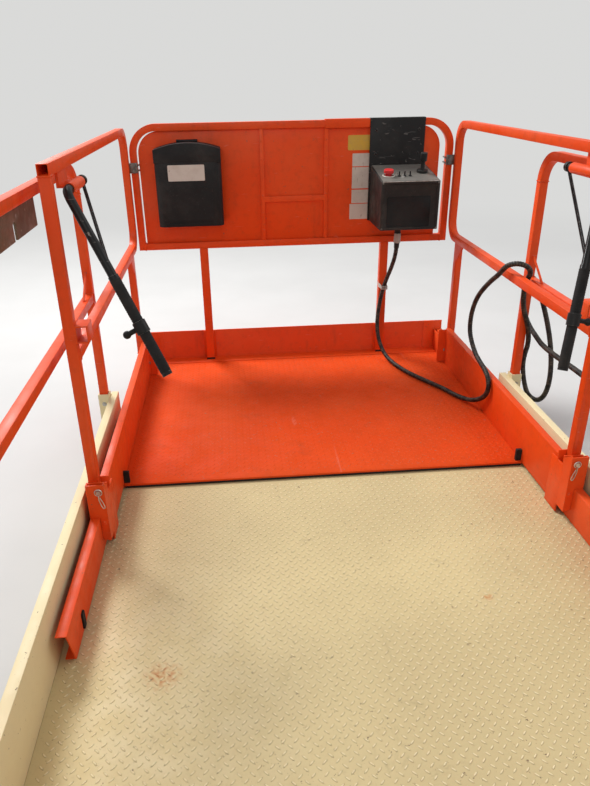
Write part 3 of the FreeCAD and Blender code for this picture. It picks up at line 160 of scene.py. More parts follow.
class PlatformDetail(bpy.types.PropertyGroup):
    """Sizes of the platform's small details."""
    edge: bpy.props.FloatProperty(
        name="Tube edge", description="Rounding of the rail tubes' edges", default=0.0011, min=0,
        unit="LENGTH")
    sheet_edge: bpy.props.FloatProperty(
        name="Sheet edge", description="Rounding of the folded sheets' edges", default=0.0009, min=0,
        unit="LENGTH")
    tread_pitch: bpy.props.FloatProperty(
        name="Tread pitch", description="Distance between the tread plate's lozenges", default=0.0275,
        min=0.01,
        unit="LENGTH")
    tread_length: bpy.props.FloatProperty(
        name="Lozenge length", description="Length of one raised lozenge", default=0.0200, min=0.005,
        unit="LENGTH")
    tread_width: bpy.props.FloatProperty(
        name="Lozenge width", description="Width of one raised lozenge", default=0.0062, min=0.002,
        unit="LENGTH")
    weld: bpy.props.FloatProperty(
        name="Weld bead", description="Radius of the weld beads", default=0.0028, min=0, unit="LENGTH")
    cable_rib: bpy.props.FloatProperty(
        name="Sheath rib pitch", description="Distance between the ribs of the cable's sheath",
        default=0.0090,
        min=0.002, unit="LENGTH")


class PlatformView(bpy.types.PropertyGroup):
    """Camera of the photograph."""
    lens: bpy.props.FloatProperty(
        name="Lens", description="Focal length over a sensor 24 mm high, in millimetres", default=20.256,
        min=1)
    place: bpy.props.FloatVectorProperty(
        name="Place", description="Where the camera stands", subtype="XYZ", unit="LENGTH",
        default=(-0.2993, -1.4065, 1.4231))
    pitch: bpy.props.FloatProperty(
        name="Pitch", description="How far the camera looks down", default=0.4426, unit="ROTATION")
    yaw: bpy.props.FloatProperty(
        name="Yaw", description="How far the camera is turned to the right", default=0.0730,
        unit="ROTATION")
    roll: bpy.props.FloatProperty(
        name="Roll", description="How far the camera is tilted", default=0.0184, unit="ROTATION")
    shift: bpy.props.FloatVectorProperty(
        name="Shift", description="Offset of the frame, in shares of its height", size=2,
        default=(0.0155, 0.0015))


class Finish:
    """Node tree of one material, on Object coordinates."""

    def __init__(self, name):
        self.material = bpy.data.materials.new(name)
        self.material.use_nodes = True
        self.tree = self.material.node_tree
        self.shader = self.tree.nodes["Principled BSDF"]
        self.place = self.tree.nodes.new("ShaderNodeTexCoord").outputs["Object"]

    def add(self, kind, inputs=(), **settings):
        """A node with its settings, its inputs given as (key, value or socket) pairs."""
        return wire(self.tree, "ShaderNode" + kind, inputs, **settings)

    def noise(self, scale, detail, rough=0.55, stretch=(1, 1, 1), shift=(0, 0, 0), distortion=0.0):
        """Noise over the surface, its pattern stretched along the axes with a small factor."""
        mapped = self.add("Mapping", (("Vector", self.place), ("Location", shift), ("Scale", stretch)))
        return self.add("TexNoise", (("Vector", mapped.outputs[0]), ("Scale", scale), ("Detail", detail),
                                     ("Roughness", rough), ("Distortion", distortion))).outputs["Fac"]

    def band(self, value, low, high, bottom=0.0, top=1.0):
        """A value spread smoothly between two limits."""
        return self.add("MapRange",
                        (("Value", value), ("From Min", low), ("From Max", high), ("To Min", bottom),
                                     ("To Max", top)), interpolation_type="SMOOTHSTEP").outputs["Result"]

    def cloud(self, scale, detail, low, high, bottom=0.0, top=1.0, **settings):
        """Noise spread smoothly between two limits."""
        return self.band(self.noise(scale, detail, **settings), low, high, bottom, top)

    def sum(self, first, second, operation="ADD"):
        """Two values added, or combined by another operation."""
        return self.add("Math", ((0, first), (1, second)), operation=operation).outputs[0]

    def times(self, first, second):
        """Two values multiplied."""
        return self.sum(first, second, "MULTIPLY")

    def mix(self, share, first, second):
        """One colour over another."""
        pairs = [(key, colour if is_socket(colour) else (*colour, 1)) for key,
                 colour in ((6, first), (7, second))]
        return self.add("Mix", [(0, share)] + pairs, data_type="RGBA").outputs[2]

    def layers(self, colour, *coats):
        """A colour under coats, each given as its share and its colour."""
        for share, coat in coats:
            colour = self.mix(share, colour, coat)
        return colour

    def edges(self, radius):
        """How near an outer or inner edge a point lies."""
        rounded = self.add("Bevel", (("Radius", radius),), samples=4)
        flat = self.add("NewGeometry")
        turned = self.add("VectorMath", ((0, rounded.outputs[0]), (1, flat.outputs["Normal"])),
                          operation="DOT_PRODUCT")
        return self.band(turned.outputs["Value"], 0.995, 0.80)

    def chips(self, scale, rough, radius, weight, low, high):
        """Chips in a coat, most of them along its edges."""
        near = self.times(self.edges(radius), weight)
        return self.band(self.sum(self.noise(scale, 4, rough), near), low, high)

    def raised(self, level, rise):
        """How far a point stands up above a level, from none at the level to all of it a rise higher."""
        height = self.add("SeparateXYZ", ((0, self.place),)).outputs[2]
        return self.band(height, level + rise * 0.25, level + rise * 0.95)

    def flank(self, level, rise):
        """How near a point is to the middle of a rise above a level."""
        height = self.add("SeparateXYZ", ((0, self.place),)).outputs[2]
        climb = self.band(height, level + rise * 0.02, level + rise * 0.30)
        return self.times(climb, self.band(height, level + rise * 0.90, level + rise * 0.55))

    def spot(self, centre, radius):
        """A soft round spot about a point."""
        away = self.add("VectorMath", ((0, self.place), (1, centre)), operation="DISTANCE").outputs["Value"]
        return self.band(away, radius, radius * 0.2)

    def surface(self, colour, roughness=None, height=None, strength=0.2, distance=0.001, metal=0.0,
                shine=0.5):
        """Links colour, roughness and bump to the shader."""
        self.shader.inputs["Metallic"].default_value = metal
        self.shader.inputs["Specular IOR Level"].default_value = shine
        self.tree.links.new(colour, self.shader.inputs["Base Color"])
        if roughness is not None:
            self.tree.links.new(roughness, self.shader.inputs["Roughness"])
        if height is not None:
            bump = self.add("Bump", (("Height", height), ("Strength", strength), ("Distance", distance)))
            self.tree.links.new(bump.outputs[0], self.shader.inputs["Normal"])
        return self.material


def is_socket(value):
    """Whether a value is a node's socket."""
    return isinstance(value, bpy.types.NodeSocket)


def shade(colour, factor, towards=(0, 0, 0)):
    """A colour drawn towards another: all of it at 0, none at 1."""
    return tuple(factor * c + (1 - factor) * t for c, t in zip(colour, towards))


def weathered_enamel(name, base, faded, grime_and_shade, bare, wear=0.03, dull=0.0, deck=None):
    """Brushed enamel outdoors: faded patches, grime, fine scratches, and chips along its edges.

    Dull makes it rougher. On a deck, given as its level and its tread's rise, grime with painted shade
    lies between the lozenges, and painted shade darkens their flanks.
    """
    look = Finish(name)
    colour = look.layers(
        base,
        (look.cloud(2.3, 5, 0.38, 0.70, rough=0.6), faded),
        (look.cloud(31, 6, 0.46, 0.80, 0, 0.35, rough=0.7), grime_and_shade),
        (look.cloud(9, 7, 0.56, 0.76, 0, 0.55, rough=0.65, stretch=(1, 1, 0.25), shift=(3, 1, 0)), grime_and_shade),
        (look.cloud(16, 3, 0.69, 0.73, 0, 0.22, rough=0.5, stretch=(1, 0.08, 9), distortion=0.6),
         shade(faded, 0.6, (0.8, 0.7, 0.6))))
    if deck:
        low = look.sum(1.0, look.raised(*deck), "SUBTRACT")
        colour = look.layers(
            colour,
            # Grime with painted shade in the low ground between the lozenges
            (look.times(low, look.cloud(3, 5, 0.3, 0.7, 0.10, 0.40)), grime_and_shade),
            # Painted shade on the lozenges' flanks
            (look.times(look.flank(*deck), 0.40), grime_and_shade))
    chips = look.chips(70, 0.7, 0.0022, 0.16, 0.70 - wear, 0.74 - wear)
    colour = look.mix(chips, colour, bare)
    roughness = look.cloud(12, 4, 0.3, 0.75, 0.34 + dull, 0.56 + dull)
    peel = look.sum(look.noise(240, 2), look.times(chips, -1.5))
    return look.surface(colour, roughness, peel, 0.25, 0.0006, shine=0.10 if deck else 0.22)


def cream_enamel(name, base, stains, deck):
    """Cream enamel of the fixed deck: trodden, dusty, with rust stains, and with painted shade and a
    painted highlight on its tread.
    """
    look = Finish(name)
    dust = shade(base, 0.55, (0.34, 0.25, 0.13))
    low = look.sum(1.0, look.raised(*deck), "SUBTRACT")
    colour = look.layers(
        base,
        (look.cloud(1.8, 6, 0.36, 0.72, 0, 0.75, rough=0.62), shade(base, 0.80, (0.5, 0.37, 0.2))),
        (look.cloud(55, 5, 0.50, 0.80, 0, 0.5, rough=0.7), dust),
        (look.cloud(7, 8, 0.60, 0.74, 0, 0.55, rough=0.72, distortion=0.8), shade(dust, 0.7)),
        (look.cloud(150, 2, 0.72, 0.77, 0, 0.6, rough=0.5), (0.22, 0.12, 0.05)),
        # Grime with painted shade in the low ground between the lozenges
        (look.times(low, look.cloud(2.2, 5, 0.3, 0.7, 0.12, 0.34)), shade(dust, 0.62)),
        # Painted shade on the lozenges' flanks
        (look.times(look.flank(*deck), 0.48), shade(dust, 0.60)),
        # Painted highlight on the lozenges' tops
        (look.times(look.raised(*deck), 0.65), shade(base, 0.62, (0.98, 0.90, 0.66))))
    for centre, radius in stains:
        patch = look.times(look.spot(centre, radius), look.cloud(90, 5, 0.42, 0.62, rough=0.7))
        colour = look.mix(look.times(patch, 0.85), colour, (0.50, 0.19, 0.05))
    chips = look.chips(80, 0.7, 0.002, 0.14, 0.66, 0.70)
    colour = look.mix(chips, colour, (0.16, 0.10, 0.06))
    peel = look.sum(look.noise(260, 2), chips, "SUBTRACT")
    return look.surface(colour, look.cloud(14, 4, 0.3, 0.75, 0.42, 0.66), peel, 0.2, 0.0006, shine=0.3)


def black_enamel(name, base):
    """Black enamel, rubbed grey and scratched in one direction."""
    look = Finish(name)
    colour = look.layers(
        base,
        (look.cloud(5, 6, 0.50, 0.80, 0, 0.5, rough=0.65), (0.040, 0.036, 0.032)),
        (look.cloud(9, 3, 0.655, 0.675, 0, 0.6, rough=0.5, stretch=(1, 1, 5), distortion=2.5),
         (0.14, 0.13, 0.12)),
        (look.chips(60, 0.55, 0.002, 0.22, 0.66, 0.72), (0.22, 0.20, 0.18)))
    roughness = look.cloud(18, 4, 0.3, 0.7, 0.34, 0.52)
    return look.surface(colour, roughness, look.noise(200, 2), 0.15, 0.0004, shine=0.22)


def moulded(name, base, dust, low=0.45, high=0.62, grain=420.0, strength=0.25):
    """Moulded plastic or rubber: fine grain under a film of dust."""
    look = Finish(name)
    colour = look.layers(
        base,
        (look.cloud(6, 6, 0.45, 0.80, 0, 0.5, rough=0.65), dust),
        (look.cloud(120, 3, 0.62, 0.72, 0, 0.35), dust))
    roughness = look.cloud(20, 3, 0.3, 0.7, low, high)
    return look.surface(colour, roughness, look.noise(grain, 2), strength, 0.0004, shine=0.2)


def sheathing(name, base, dust):
    """Sheath of wound strip: dark in its grooves, its ribs, which an attribute marks, lighter with rubbed
    dust and a painted highlight.
    """
    look = Finish(name)
    rib = look.add("Attribute", attribute_name="rib").outputs["Fac"]
    # Ribs lighter with rubbed dust and a painted highlight
    rib_dust_and_sheen = look.times(rib, look.cloud(60, 4, 0.42, 0.62, rough=0.7))
    colour = look.mix(look.times(rib_dust_and_sheen, 0.75), base, dust)
    roughness = look.cloud(40, 3, 0.3, 0.7, 0.36, 0.56)
    return look.surface(colour, roughness, look.noise(260, 2), 0.2, 0.0004, shine=0.25)


def zinc_plate(name, tone=1.0):
    """Dulled zinc plating."""
    look = Finish(name)
    bright, dull = (shade(colour, tone) for colour in ((0.50, 0.49, 0.46), (0.30, 0.28, 0.25)))
    colour = look.layers(
        bright,
        (look.cloud(45, 5, 0.35, 0.7, rough=0.6), dull),
        (look.cloud(30, 6, 0.60, 0.72, 0, 0.7, rough=0.7, shift=(5, 0, 0)), (0.24, 0.12, 0.05)))
    return look.surface(colour, look.cloud(60, 3, 0.3, 0.7, 0.32, 0.55), look.noise(180, 3), 0.2, 0.0004,
                        0.9)


def rack_steel(name, base):
    """Dark brown steel, rubbed bare along the notches."""
    look = Finish(name)
    colour = look.layers(
        base,
        (look.cloud(14, 7, 0.4, 0.7, rough=0.65), shade(base, 0.5, (0.20, 0.07, 0.03))),
        (look.chips(50, 0.55, 0.003, 0.3, 0.62, 0.74), (0.34, 0.30, 0.26)))
    return look.surface(colour, look.cloud(30, 4, 0.3, 0.7, 0.42, 0.65), look.noise(150, 4), 0.3, 0.0006,
                        0.3)


def blank_label(name, base):
    """Blank sticker, yellowed and scuffed."""
    look = Finish(name)
    colour = look.layers(
        base,
        (look.cloud(24, 6, 0.42, 0.75, 0, 0.6, rough=0.7), shade(base, 0.6, (0.30, 0.22, 0.14))),
        (look.cloud(90, 3, 0.66, 0.70, 0, 0.6, rough=0.6, stretch=(1, 1, 0.2)), (0.22, 0.15, 0.10)))
    return look.surface(colour, look.cloud(30, 2, 0.3, 0.7, 0.3, 0.5))


MATERIALS = {}


def make_materials(colours):
    """Every finish of the platform, by the record's slot or by a name of its own."""
    low, high = (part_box(node)[1][2] for node in ("deck_plate", "extension_deck"))
    stains = ((Vector((-0.515, -0.235, low)), 0.060), (Vector((0.35, -0.05, low)), 0.022))
    orange = colours.orange
    MATERIALS.update({
        "orange_paint": weathered_enamel(
            "Orange enamel", orange, shade(orange, 0.86, (0.80, 0.24, 0.09)),
            shade(orange, 0.45, (0.10, 0.04, 0.02)), (0.22, 0.12, 0.075)),
        "orange_deck": weathered_enamel(
            "Orange tread plate", orange, shade(orange, 0.88, (0.80, 0.20, 0.05)),
            shade(orange, 0.55, (0.16, 0.05, 0.02)), (0.30, 0.20, 0.14), 0.030, 0.22, (high, TREAD_RISE)),
        "cream_paint": cream_enamel("Cream enamel", colours.cream, stains, (low, TREAD_RISE)),
        "black_steel": black_enamel("Black enamel", colours.black),
        "dark_steel": rack_steel("Rack steel", colours.rack),
        "zinc": zinc_plate("Zinc plate"),
        "black_plastic": moulded("Black moulding", colours.moulding, (0.060, 0.056, 0.050)),
        "black_rubber": moulded(
            "Black rubber", (0.014, 0.014, 0.014), (0.060, 0.052, 0.042), 0.6, 0.8, 300, 0.35),
        "grey_plastic": moulded("Grey housing", colours.grey, (0.10, 0.088, 0.075), 0.40, 0.60),
        "red_plastic": moulded("Red button", (0.60, 0.030, 0.030), (0.62, 0.22, 0.20), 0.3, 0.5, 200, 0.05),
        # Its second colour is dust that also paints a highlight on the sheath's ribs
        "cable_sheath": sheathing("Cable sheath", (0.010, 0.010, 0.010), (0.130, 0.100, 0.070)),
        "dark_zinc": zinc_plate("Dark zinc", 0.38),
        "bright_zinc": zinc_plate("Bright zinc", 1.45),
        "panel_plate": moulded(
            "Control panel plate", (0.150, 0.140, 0.125), (0.30, 0.27, 0.22), 0.35, 0.55, 200, 0.2),
        "roller_nylon": moulded("Roller nylon", (0.52, 0.48, 0.38), (0.22, 0.18, 0.12), 0.4, 0.6, 120, 0.1),
        "white_label": blank_label("White label", (0.60, 0.57, 0.50)),
        "yellow_label": blank_label("Yellow label", (0.62, 0.40, 0.04)),
        "pale_tape": moulded("Pale tape", (0.42, 0.40, 0.36), (0.16, 0.14, 0.11), 0.5, 0.7, 90, 0.4),
        "dark_screen": moulded(
            "Dark screen", (0.010, 0.012, 0.012), (0.03, 0.03, 0.028), 0.12, 0.22, 60, 0.02),
    })


def placed(name, data):
    """A new object in the scene."""
    item = bpy.data.objects.new(name, data)
    bpy.context.scene.collection.objects.link(item)
    return item


def add_piece(name, mesh, finish, body, slot, *nodes):
    """A finished mesh as a piece of a body, standing for the nodes that are named."""
    mesh.materials.clear()
    mesh.materials.append(MATERIALS[finish])
    piece = placed(name, mesh)
    if body:
        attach(piece, body)
    if nodes:
        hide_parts(*nodes)
    return piece


def on_extension(name, mesh, finish, slot=None, *nodes):
    """A piece that slides with the extension; its slot is not used."""
    return add_piece(name, mesh, finish, "extension", slot or finish, *nodes)


def smooth(mesh, angle=35.0):
    """Shades a mesh smooth up to an angle."""
    for face in mesh.polygons:
        face.use_smooth = True
    mesh.set_sharp_from_angle(angle=math.radians(angle))
    return mesh


def evaluated(mesh, add_modifier):
    """A mesh after one modifier."""
    carrier = placed("carrier", mesh)
    add_modifier(carrier)
    depsgraph = bpy.context.evaluated_depsgraph_get()
    result = bpy.data.meshes.new_from_object(carrier.evaluated_get(depsgraph))
    bpy.data.objects.remove(carrier)
    return result


def as_mesh(work, name):
    """Plain mesh of a bmesh, which is freed."""
    mesh = bpy.data.meshes.new(name)
    work.to_mesh(mesh)
    work.free()
    return mesh


def merged_copy(node):
    """A node's mesh with its doubles merged and its flat faces joined."""
    work = bmesh.new()
    work.from_mesh(frame["nodes"][node].data)
    bmesh.ops.remove_doubles(work, verts=work.verts, dist=0.00002)
    bmesh.ops.dissolve_limit(work, angle_limit=math.radians(0.4), verts=work.verts, edges=work.edges)
    return as_mesh(work, node)


def add_bevel(carrier, width, segments=2):
    """Rounds an object's sharp edges."""
    bevel = carrier.modifiers.new("Edges", "BEVEL")
    bevel.width = width
    bevel.segments = segments
    bevel.limit_method = "ANGLE"
    bevel.angle_limit = math.radians(40)


def dress(node, width, finish=None, segments=2):
    """A node's own shape with its edges rounded and its finish on."""
    mesh = merged_copy(node)
    if width > 0:
        mesh = evaluated(mesh, lambda carrier: add_bevel(carrier, width, segments))
    slot = SLOT_OF[node]
    return add_piece(node + "_finished", smooth(mesh), finish or slot, BODY_OF[node], slot, node)


def both(*names):
    """Names of the left and the right piece of each pair."""
    return [side + "_" + name for name in names for side, sign in SIDES]


def node_tree(name, inputs):
    """An empty geometry tree with named inputs, its group input and its group output."""
    tree = bpy.data.node_groups.new(name, "GeometryNodeTree")
    tree.interface.new_socket("Geometry", in_out="INPUT", socket_type="NodeSocketGeometry")
    for label, kind, default in inputs:
        socket = tree.interface.new_socket(label, in_out="INPUT", socket_type="NodeSocket" + kind)
        if default is not None:
            socket.default_value = default
    tree.interface.new_socket("Geometry", in_out="OUTPUT", socket_type="NodeSocketGeometry")
    return tree, tree.nodes.new("NodeGroupInput"), tree.nodes.new("NodeGroupOutput")


def wire(tree, kind, inputs=(), **settings):
    """A node of a geometry tree, its inputs given as (key, value or socket) pairs."""
    node = tree.nodes.new(kind)
    for name, value in settings.items():
        setattr(node, name, value)
    for key, value in inputs:
        if is_socket(value):
            tree.links.new(value, node.inputs[key])
        else:
            node.inputs[key].default_value = value
    return node


def finish_tree(tree, geometry, material, output):
    """Ends a tree in real geometry with its material on."""
    real = wire(tree, "GeometryNodeRealizeInstances", (("Geometry", geometry),))
    painted = wire(tree, "GeometryNodeSetMaterial", (("Geometry", real.outputs[0]), ("Material", material)))
    tree.links.new(painted.outputs[0], output.inputs[0])


def stud_tree():
    """Tree that sets a tapered stud on each point, turned by the point's own angles."""
    tree, start, end = node_tree("Studs", (
        ("Sides", "Int", 6), ("Foot radius", "Float", 0.5), ("Top radius", "Float", 0.4),
        ("Height", "Float", 0.001),
        ("Stretch", "Vector", (1, 1, 1)), ("Material", "Material", None)))
    stud = wire(tree, "GeometryNodeMeshCone", (
        ("Vertices", start.outputs["Sides"]), ("Radius Bottom", start.outputs["Foot radius"]),
        ("Radius Top", start.outputs["Top radius"]), ("Depth", start.outputs["Height"])))
    turn = wire(tree, "GeometryNodeInputNamedAttribute", (("Name", "turn"),), data_type="FLOAT_VECTOR")
    angles = wire(tree, "FunctionNodeEulerToRotation", ((0, turn.outputs[0]),))
    rows = wire(tree, "GeometryNodeInstanceOnPoints", (
        ("Points", start.outputs["Geometry"]), ("Instance", stud.outputs["Mesh"]),
        ("Rotation", angles.outputs[0]),
        ("Scale", start.outputs["Stretch"])))
    finish_tree(tree, rows.outputs[0], start.outputs["Material"], end)
    return tree


def bead_tree():
    """Tree that lays a rippled bead along every edge path."""
    tree, start, end = node_tree("Weld bead", (
        ("Radius", "Float", 0.003), ("Step", "Float", 0.0022), ("Ripple", "Float", 0.0012),
        ("Seed", "Float", 3.0),
        ("Material", "Material", None)))
    path = wire(tree, "GeometryNodeMeshToCurve", (("Mesh", start.outputs["Geometry"]),))
    steps = wire(tree, "GeometryNodeResampleCurve", (("Curve", path.outputs[0]),), mode="LENGTH")
    tree.links.new(start.outputs["Step"], steps.inputs["Length"])
    ring = wire(tree, "GeometryNodeCurvePrimitiveCircle",
                (("Resolution", 6), ("Radius", start.outputs["Radius"])))
    bead = wire(tree, "GeometryNodeCurveToMesh",
                (("Curve", steps.outputs[0]), ("Profile Curve", ring.outputs[0])))
    noise = wire(tree, "ShaderNodeTexNoise",
                 (("W", start.outputs["Seed"]), ("Scale", 210.0), ("Detail", 1.0)),
                 noise_dimensions="4D")
    centred = wire(tree, "ShaderNodeVectorMath", ((0, noise.outputs["Color"]), (1, (0.5, 0.5, 0.5))),
                   operation="SUBTRACT")
    sized = wire(tree, "ShaderNodeVectorMath", ((0, centred.outputs[0]),), operation="SCALE")
    tree.links.new(start.outputs["Ripple"], sized.inputs["Scale"])
    uneven = wire(tree, "GeometryNodeSetPosition",
                  (("Geometry", bead.outputs[0]), ("Offset", sized.outputs[0])))
    finish_tree(tree, uneven.outputs[0], start.outputs["Material"], end)
    return tree


def grown(mesh, tree, settings):
    """The plain mesh that a geometry tree grows from a base mesh."""
    def add_tree(carrier):
        modifier = carrier.modifiers.new(tree.name, "NODES")
        modifier.node_group = tree
        for item in tree.interface.items_tree:
            if item.in_out == "INPUT" and item.name in settings:
                modifier[item.identifier] = settings[item.name]

    return evaluated(mesh, add_tree)


def stud_mesh(rows, finish, sides, foot, top, height, stretch=(1.0, 1.0, 1.0)):
    """Studs at (place, angles) rows."""
    mesh = bpy.data.meshes.new("studs")
    mesh.from_pydata([place for place, angles in rows], [], [])
    turns = mesh.attributes.new("turn", "FLOAT_VECTOR", "POINT")
    for item, (place, angles) in zip(turns.data, rows):
        item.vector = angles
    return grown(mesh, shared_tree("Studs", stud_tree), {
        "Sides": sides, "Foot radius": foot, "Top radius": top, "Height": height, "Stretch": stretch,
        "Material": MATERIALS[finish]})


def shared_tree(name, make):
    """A geometry tree, made on its first use."""
    return bpy.data.node_groups.get(name) or make()


def tread_rows(low, high, z, pitch):
    """Places and turns of a tread plate's lozenges.

    Every other row lies half a pitch across and is turned the other way.
    """
    rows = []
    columns = int((high[0] - low[0]) / pitch)
    lines = int((high[1] - low[1]) / (pitch / 2))
    x0 = (low[0] + high[0] - (columns - 0.5) * pitch) / 2
    y0 = (low[1] + high[1] - (lines - 1) * pitch / 2) / 2
    for j in range(lines):
        odd = j % 2
        for i in range(columns):
            place = (x0 + (i + odd / 2) * pitch, y0 + j * pitch / 2, z)
            rows.append((place, (0.0, 0.0, math.radians(45 if odd else -45))))
    return rows


def sweep(points, radius, sides, closed=False):
    """A round tube through points, its radius a number or a function of the ring's number."""
    work = bmesh.new()
    rings = []
    side = None
    count = len(points)
    for index, point in enumerate(points):
        after = points[(index + 1) % count] if closed else points[min(index + 1, count - 1)]
        before = points[index - 1] if closed or index else points[0]
        along = (after - before).normalized()
        if side is None:
            side = along.orthogonal()
        side = (side - along * side.dot(along)).normalized()
        other = along.cross(side)
        size = radius(index) if callable(radius) else radius
        ring = []
        for step in range(sides):
            angle = 2 * math.pi * step / sides
            ring.append(work.verts.new(point + (side * math.cos(angle) + other * math.sin(angle)) * size))
        rings.append(ring)
    pairs = list(zip(rings, rings[1:])) + ([(rings[-1], rings[0])] if closed else [])
    for first, second in pairs:
        for step in range(sides):
            follow = (step + 1) % sides
            work.faces.new((first[step], first[follow], second[follow], second[step]))
    if not closed:
        work.faces.new(list(reversed(rings[0])))
        work.faces.new(rings[-1])
    bmesh.ops.recalc_face_normals(work, faces=work.faces)
    return smooth(as_mesh(work, "tube"), 50)


def circle(centre, radius, count, up):
    """Points round a circle that lies along X and another axis."""
    turns = [2 * math.pi * step / count for step in range(count)]
    return [centre + (X_AXIS * math.cos(turn) + up * math.sin(turn)) * radius for turn in turns]


def joined(meshes):
    """One mesh from several."""
    work = bmesh.new()
    for mesh in meshes:
        work.from_mesh(mesh)
    return as_mesh(work, "joined")


def flat_plate(outline, push):
    """A thin plate: an outline pushed out along a vector."""
    work = bmesh.new()
    face = work.faces.new([work.verts.new(place) for place in outline])
    grown_part = bmesh.ops.extrude_face_region(work, geom=[face])
    moved = [item for item in grown_part["geom"] if isinstance(item, bmesh.types.BMVert)]
    bmesh.ops.translate(work, verts=moved, vec=push)
    bmesh.ops.recalc_face_normals(work, faces=work.faces)
    return smooth(as_mesh(work, "plate"), 30)


def rounded_plate(centre, size, axis, thickness, corner):
    """A thin plate with rounded corners, square to an axis, that stands proud of its centre along it."""
    across, up = PLANE_OF[axis.strip("-")]
    out = across.cross(up)
    if axis in ("-x", "-z", "y"):
        out = -out
    outline = []
    half = (size[0] / 2 - corner, size[1] / 2 - corner)
    for quarter in range(4):
        pivot = across * (half[0] * (1, -1, -1, 1)[quarter]) + up * (half[1] * (1, 1, -1, -1)[quarter])
        for step in range(5):
            angle = math.pi / 2 * (quarter + step / 4)
            turned = (across * math.cos(angle) + up * math.sin(angle)) * corner
            outline.append(Vector(centre) + pivot + turned)
    return flat_plate(outline, out * thickness)


def middle(node):
    """Middle of a node's box."""
    low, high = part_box(node)
    return (Vector(low) + Vector(high)) / 2


def facing(axis):
    """Angles that turn a stud's axis from up to another direction."""
    quarter = math.pi / 2
    return {"-y": (quarter, 0, 0), "y": (-quarter, 0, 0), "x": (0, quarter, 0),
            "-x": (0, -quarter, 0)}[axis]


def outward(sign):
    """Axis that points away from the platform's middle on one side."""
    return "x" if sign > 0 else "-x"


def side_face(node, sign, outer=True):
    """Where along X the outer or the inner face of a node on one side lies."""
    low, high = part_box(node)
    return high[0] if (sign > 0) == outer else low[0]


def bolts(name, places, axis, body, radius=0.0075, finish="zinc"):
    """Hexagon bolts on washers, at places on a face."""
    turned = [(place, facing(axis)) for place in places]
    washers = stud_mesh(turned, finish, 20, radius * 1.5, radius * 1.4, radius * 0.22)
    heads = stud_mesh(turned, finish, 6, radius, radius * 0.94, radius * 0.85)
    return add_piece(name, smooth(joined([washers, heads])), finish, body, "zinc")


def heads(name, places, finish, slot, shape, angle=60):
    """Round heads on faces that look backwards, their shape given as sides, foot, top and height."""
    mesh = stud_mesh([(place, facing("-y")) for place in places], finish, *shape)
    return on_extension(name, smooth(mesh, angle), finish, slot)


def beads(name, squares, body):
    """Weld beads round squares, each given as its centre, its half sizes and the axis it is square to."""
    mesh = bpy.data.meshes.new(name)
    places, edges = [], []
    for centre, half_a, half_b, axis in squares:
        across, up = PLANE_OF[axis]
        start = len(places)
        for a, b in ((-1, -1), (1, -1), (1, 1), (-1, 1)):
            places.append(Vector(centre) + across * a * half_a + up * b * half_b)
        edges += [(start + k, start + (k + 1) % 4) for k in range(4)]
    mesh.from_pydata(places, edges, [])
    detail = bpy.context.scene.platform_detail
    grown_mesh = grown(mesh, shared_tree("Weld bead", bead_tree), {
        "Radius": detail.weld, "Material": MATERIALS["orange_paint"]})
    return add_piece(name, smooth(grown_mesh, 60), "orange_paint", body, "orange_paint")


def evenly(points, step):
    """Points at an even step along a line of points."""
    result = [points[0].copy()]
    left = step
    for first, second in zip(points, points[1:]):
        run = (second - first).length
        at = left
        while at <= run:
            result.append(first.lerp(second, at / run))
            at += step
        left = at - run
    return result


class PLATFORM_OT_underframe(bpy.types.Operator):
    """Finishes the track channels, cross members, toe boards and post sockets of the fixed deck."""
    bl_idname = "platform.underframe"
    bl_label = "Underframe and toe boards"

    def execute(self, context):
        detail = context.scene.platform_detail
        for node in ["cross_members", "rear_toe_boards"] + both("track_channel", "toe_board"):
            dress(node, detail.sheet_edge)
        for node in both("rail_sockets"):
            dress(node, 0.0015)
        for side, sign in SIDES:
            low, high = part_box(side + "_rail_sockets")
            x, height, half = (low[0] + high[0]) / 2, low[2] + 0.075, TUBE * 0.7
            backs = [(x, y - half, height) for y in (MIDDLE_POST_Y, high[1] - half)]
            bolts(side + "_socket_bolts", backs, "-y", "platform", 0.0060)
            bolts(side + "_rear_socket_bolt", [(x, low[1] + 2 * half, height)], "y", "platform", 0.0060)
            low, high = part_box(side + "_track_rollers")
            wall = side_face(side + "_track_rollers", sign) + sign * 0.004
            radius, axle = (high[2] - low[2]) / 2, (low[2] + high[2]) / 2
            shafts = [(wall, y, axle) for y in (low[1] + radius, high[1] - radius)]
            bolts(side + "_roller_bolts", shafts, outward(sign), "platform", 0.012)
        return {"FINISHED"}


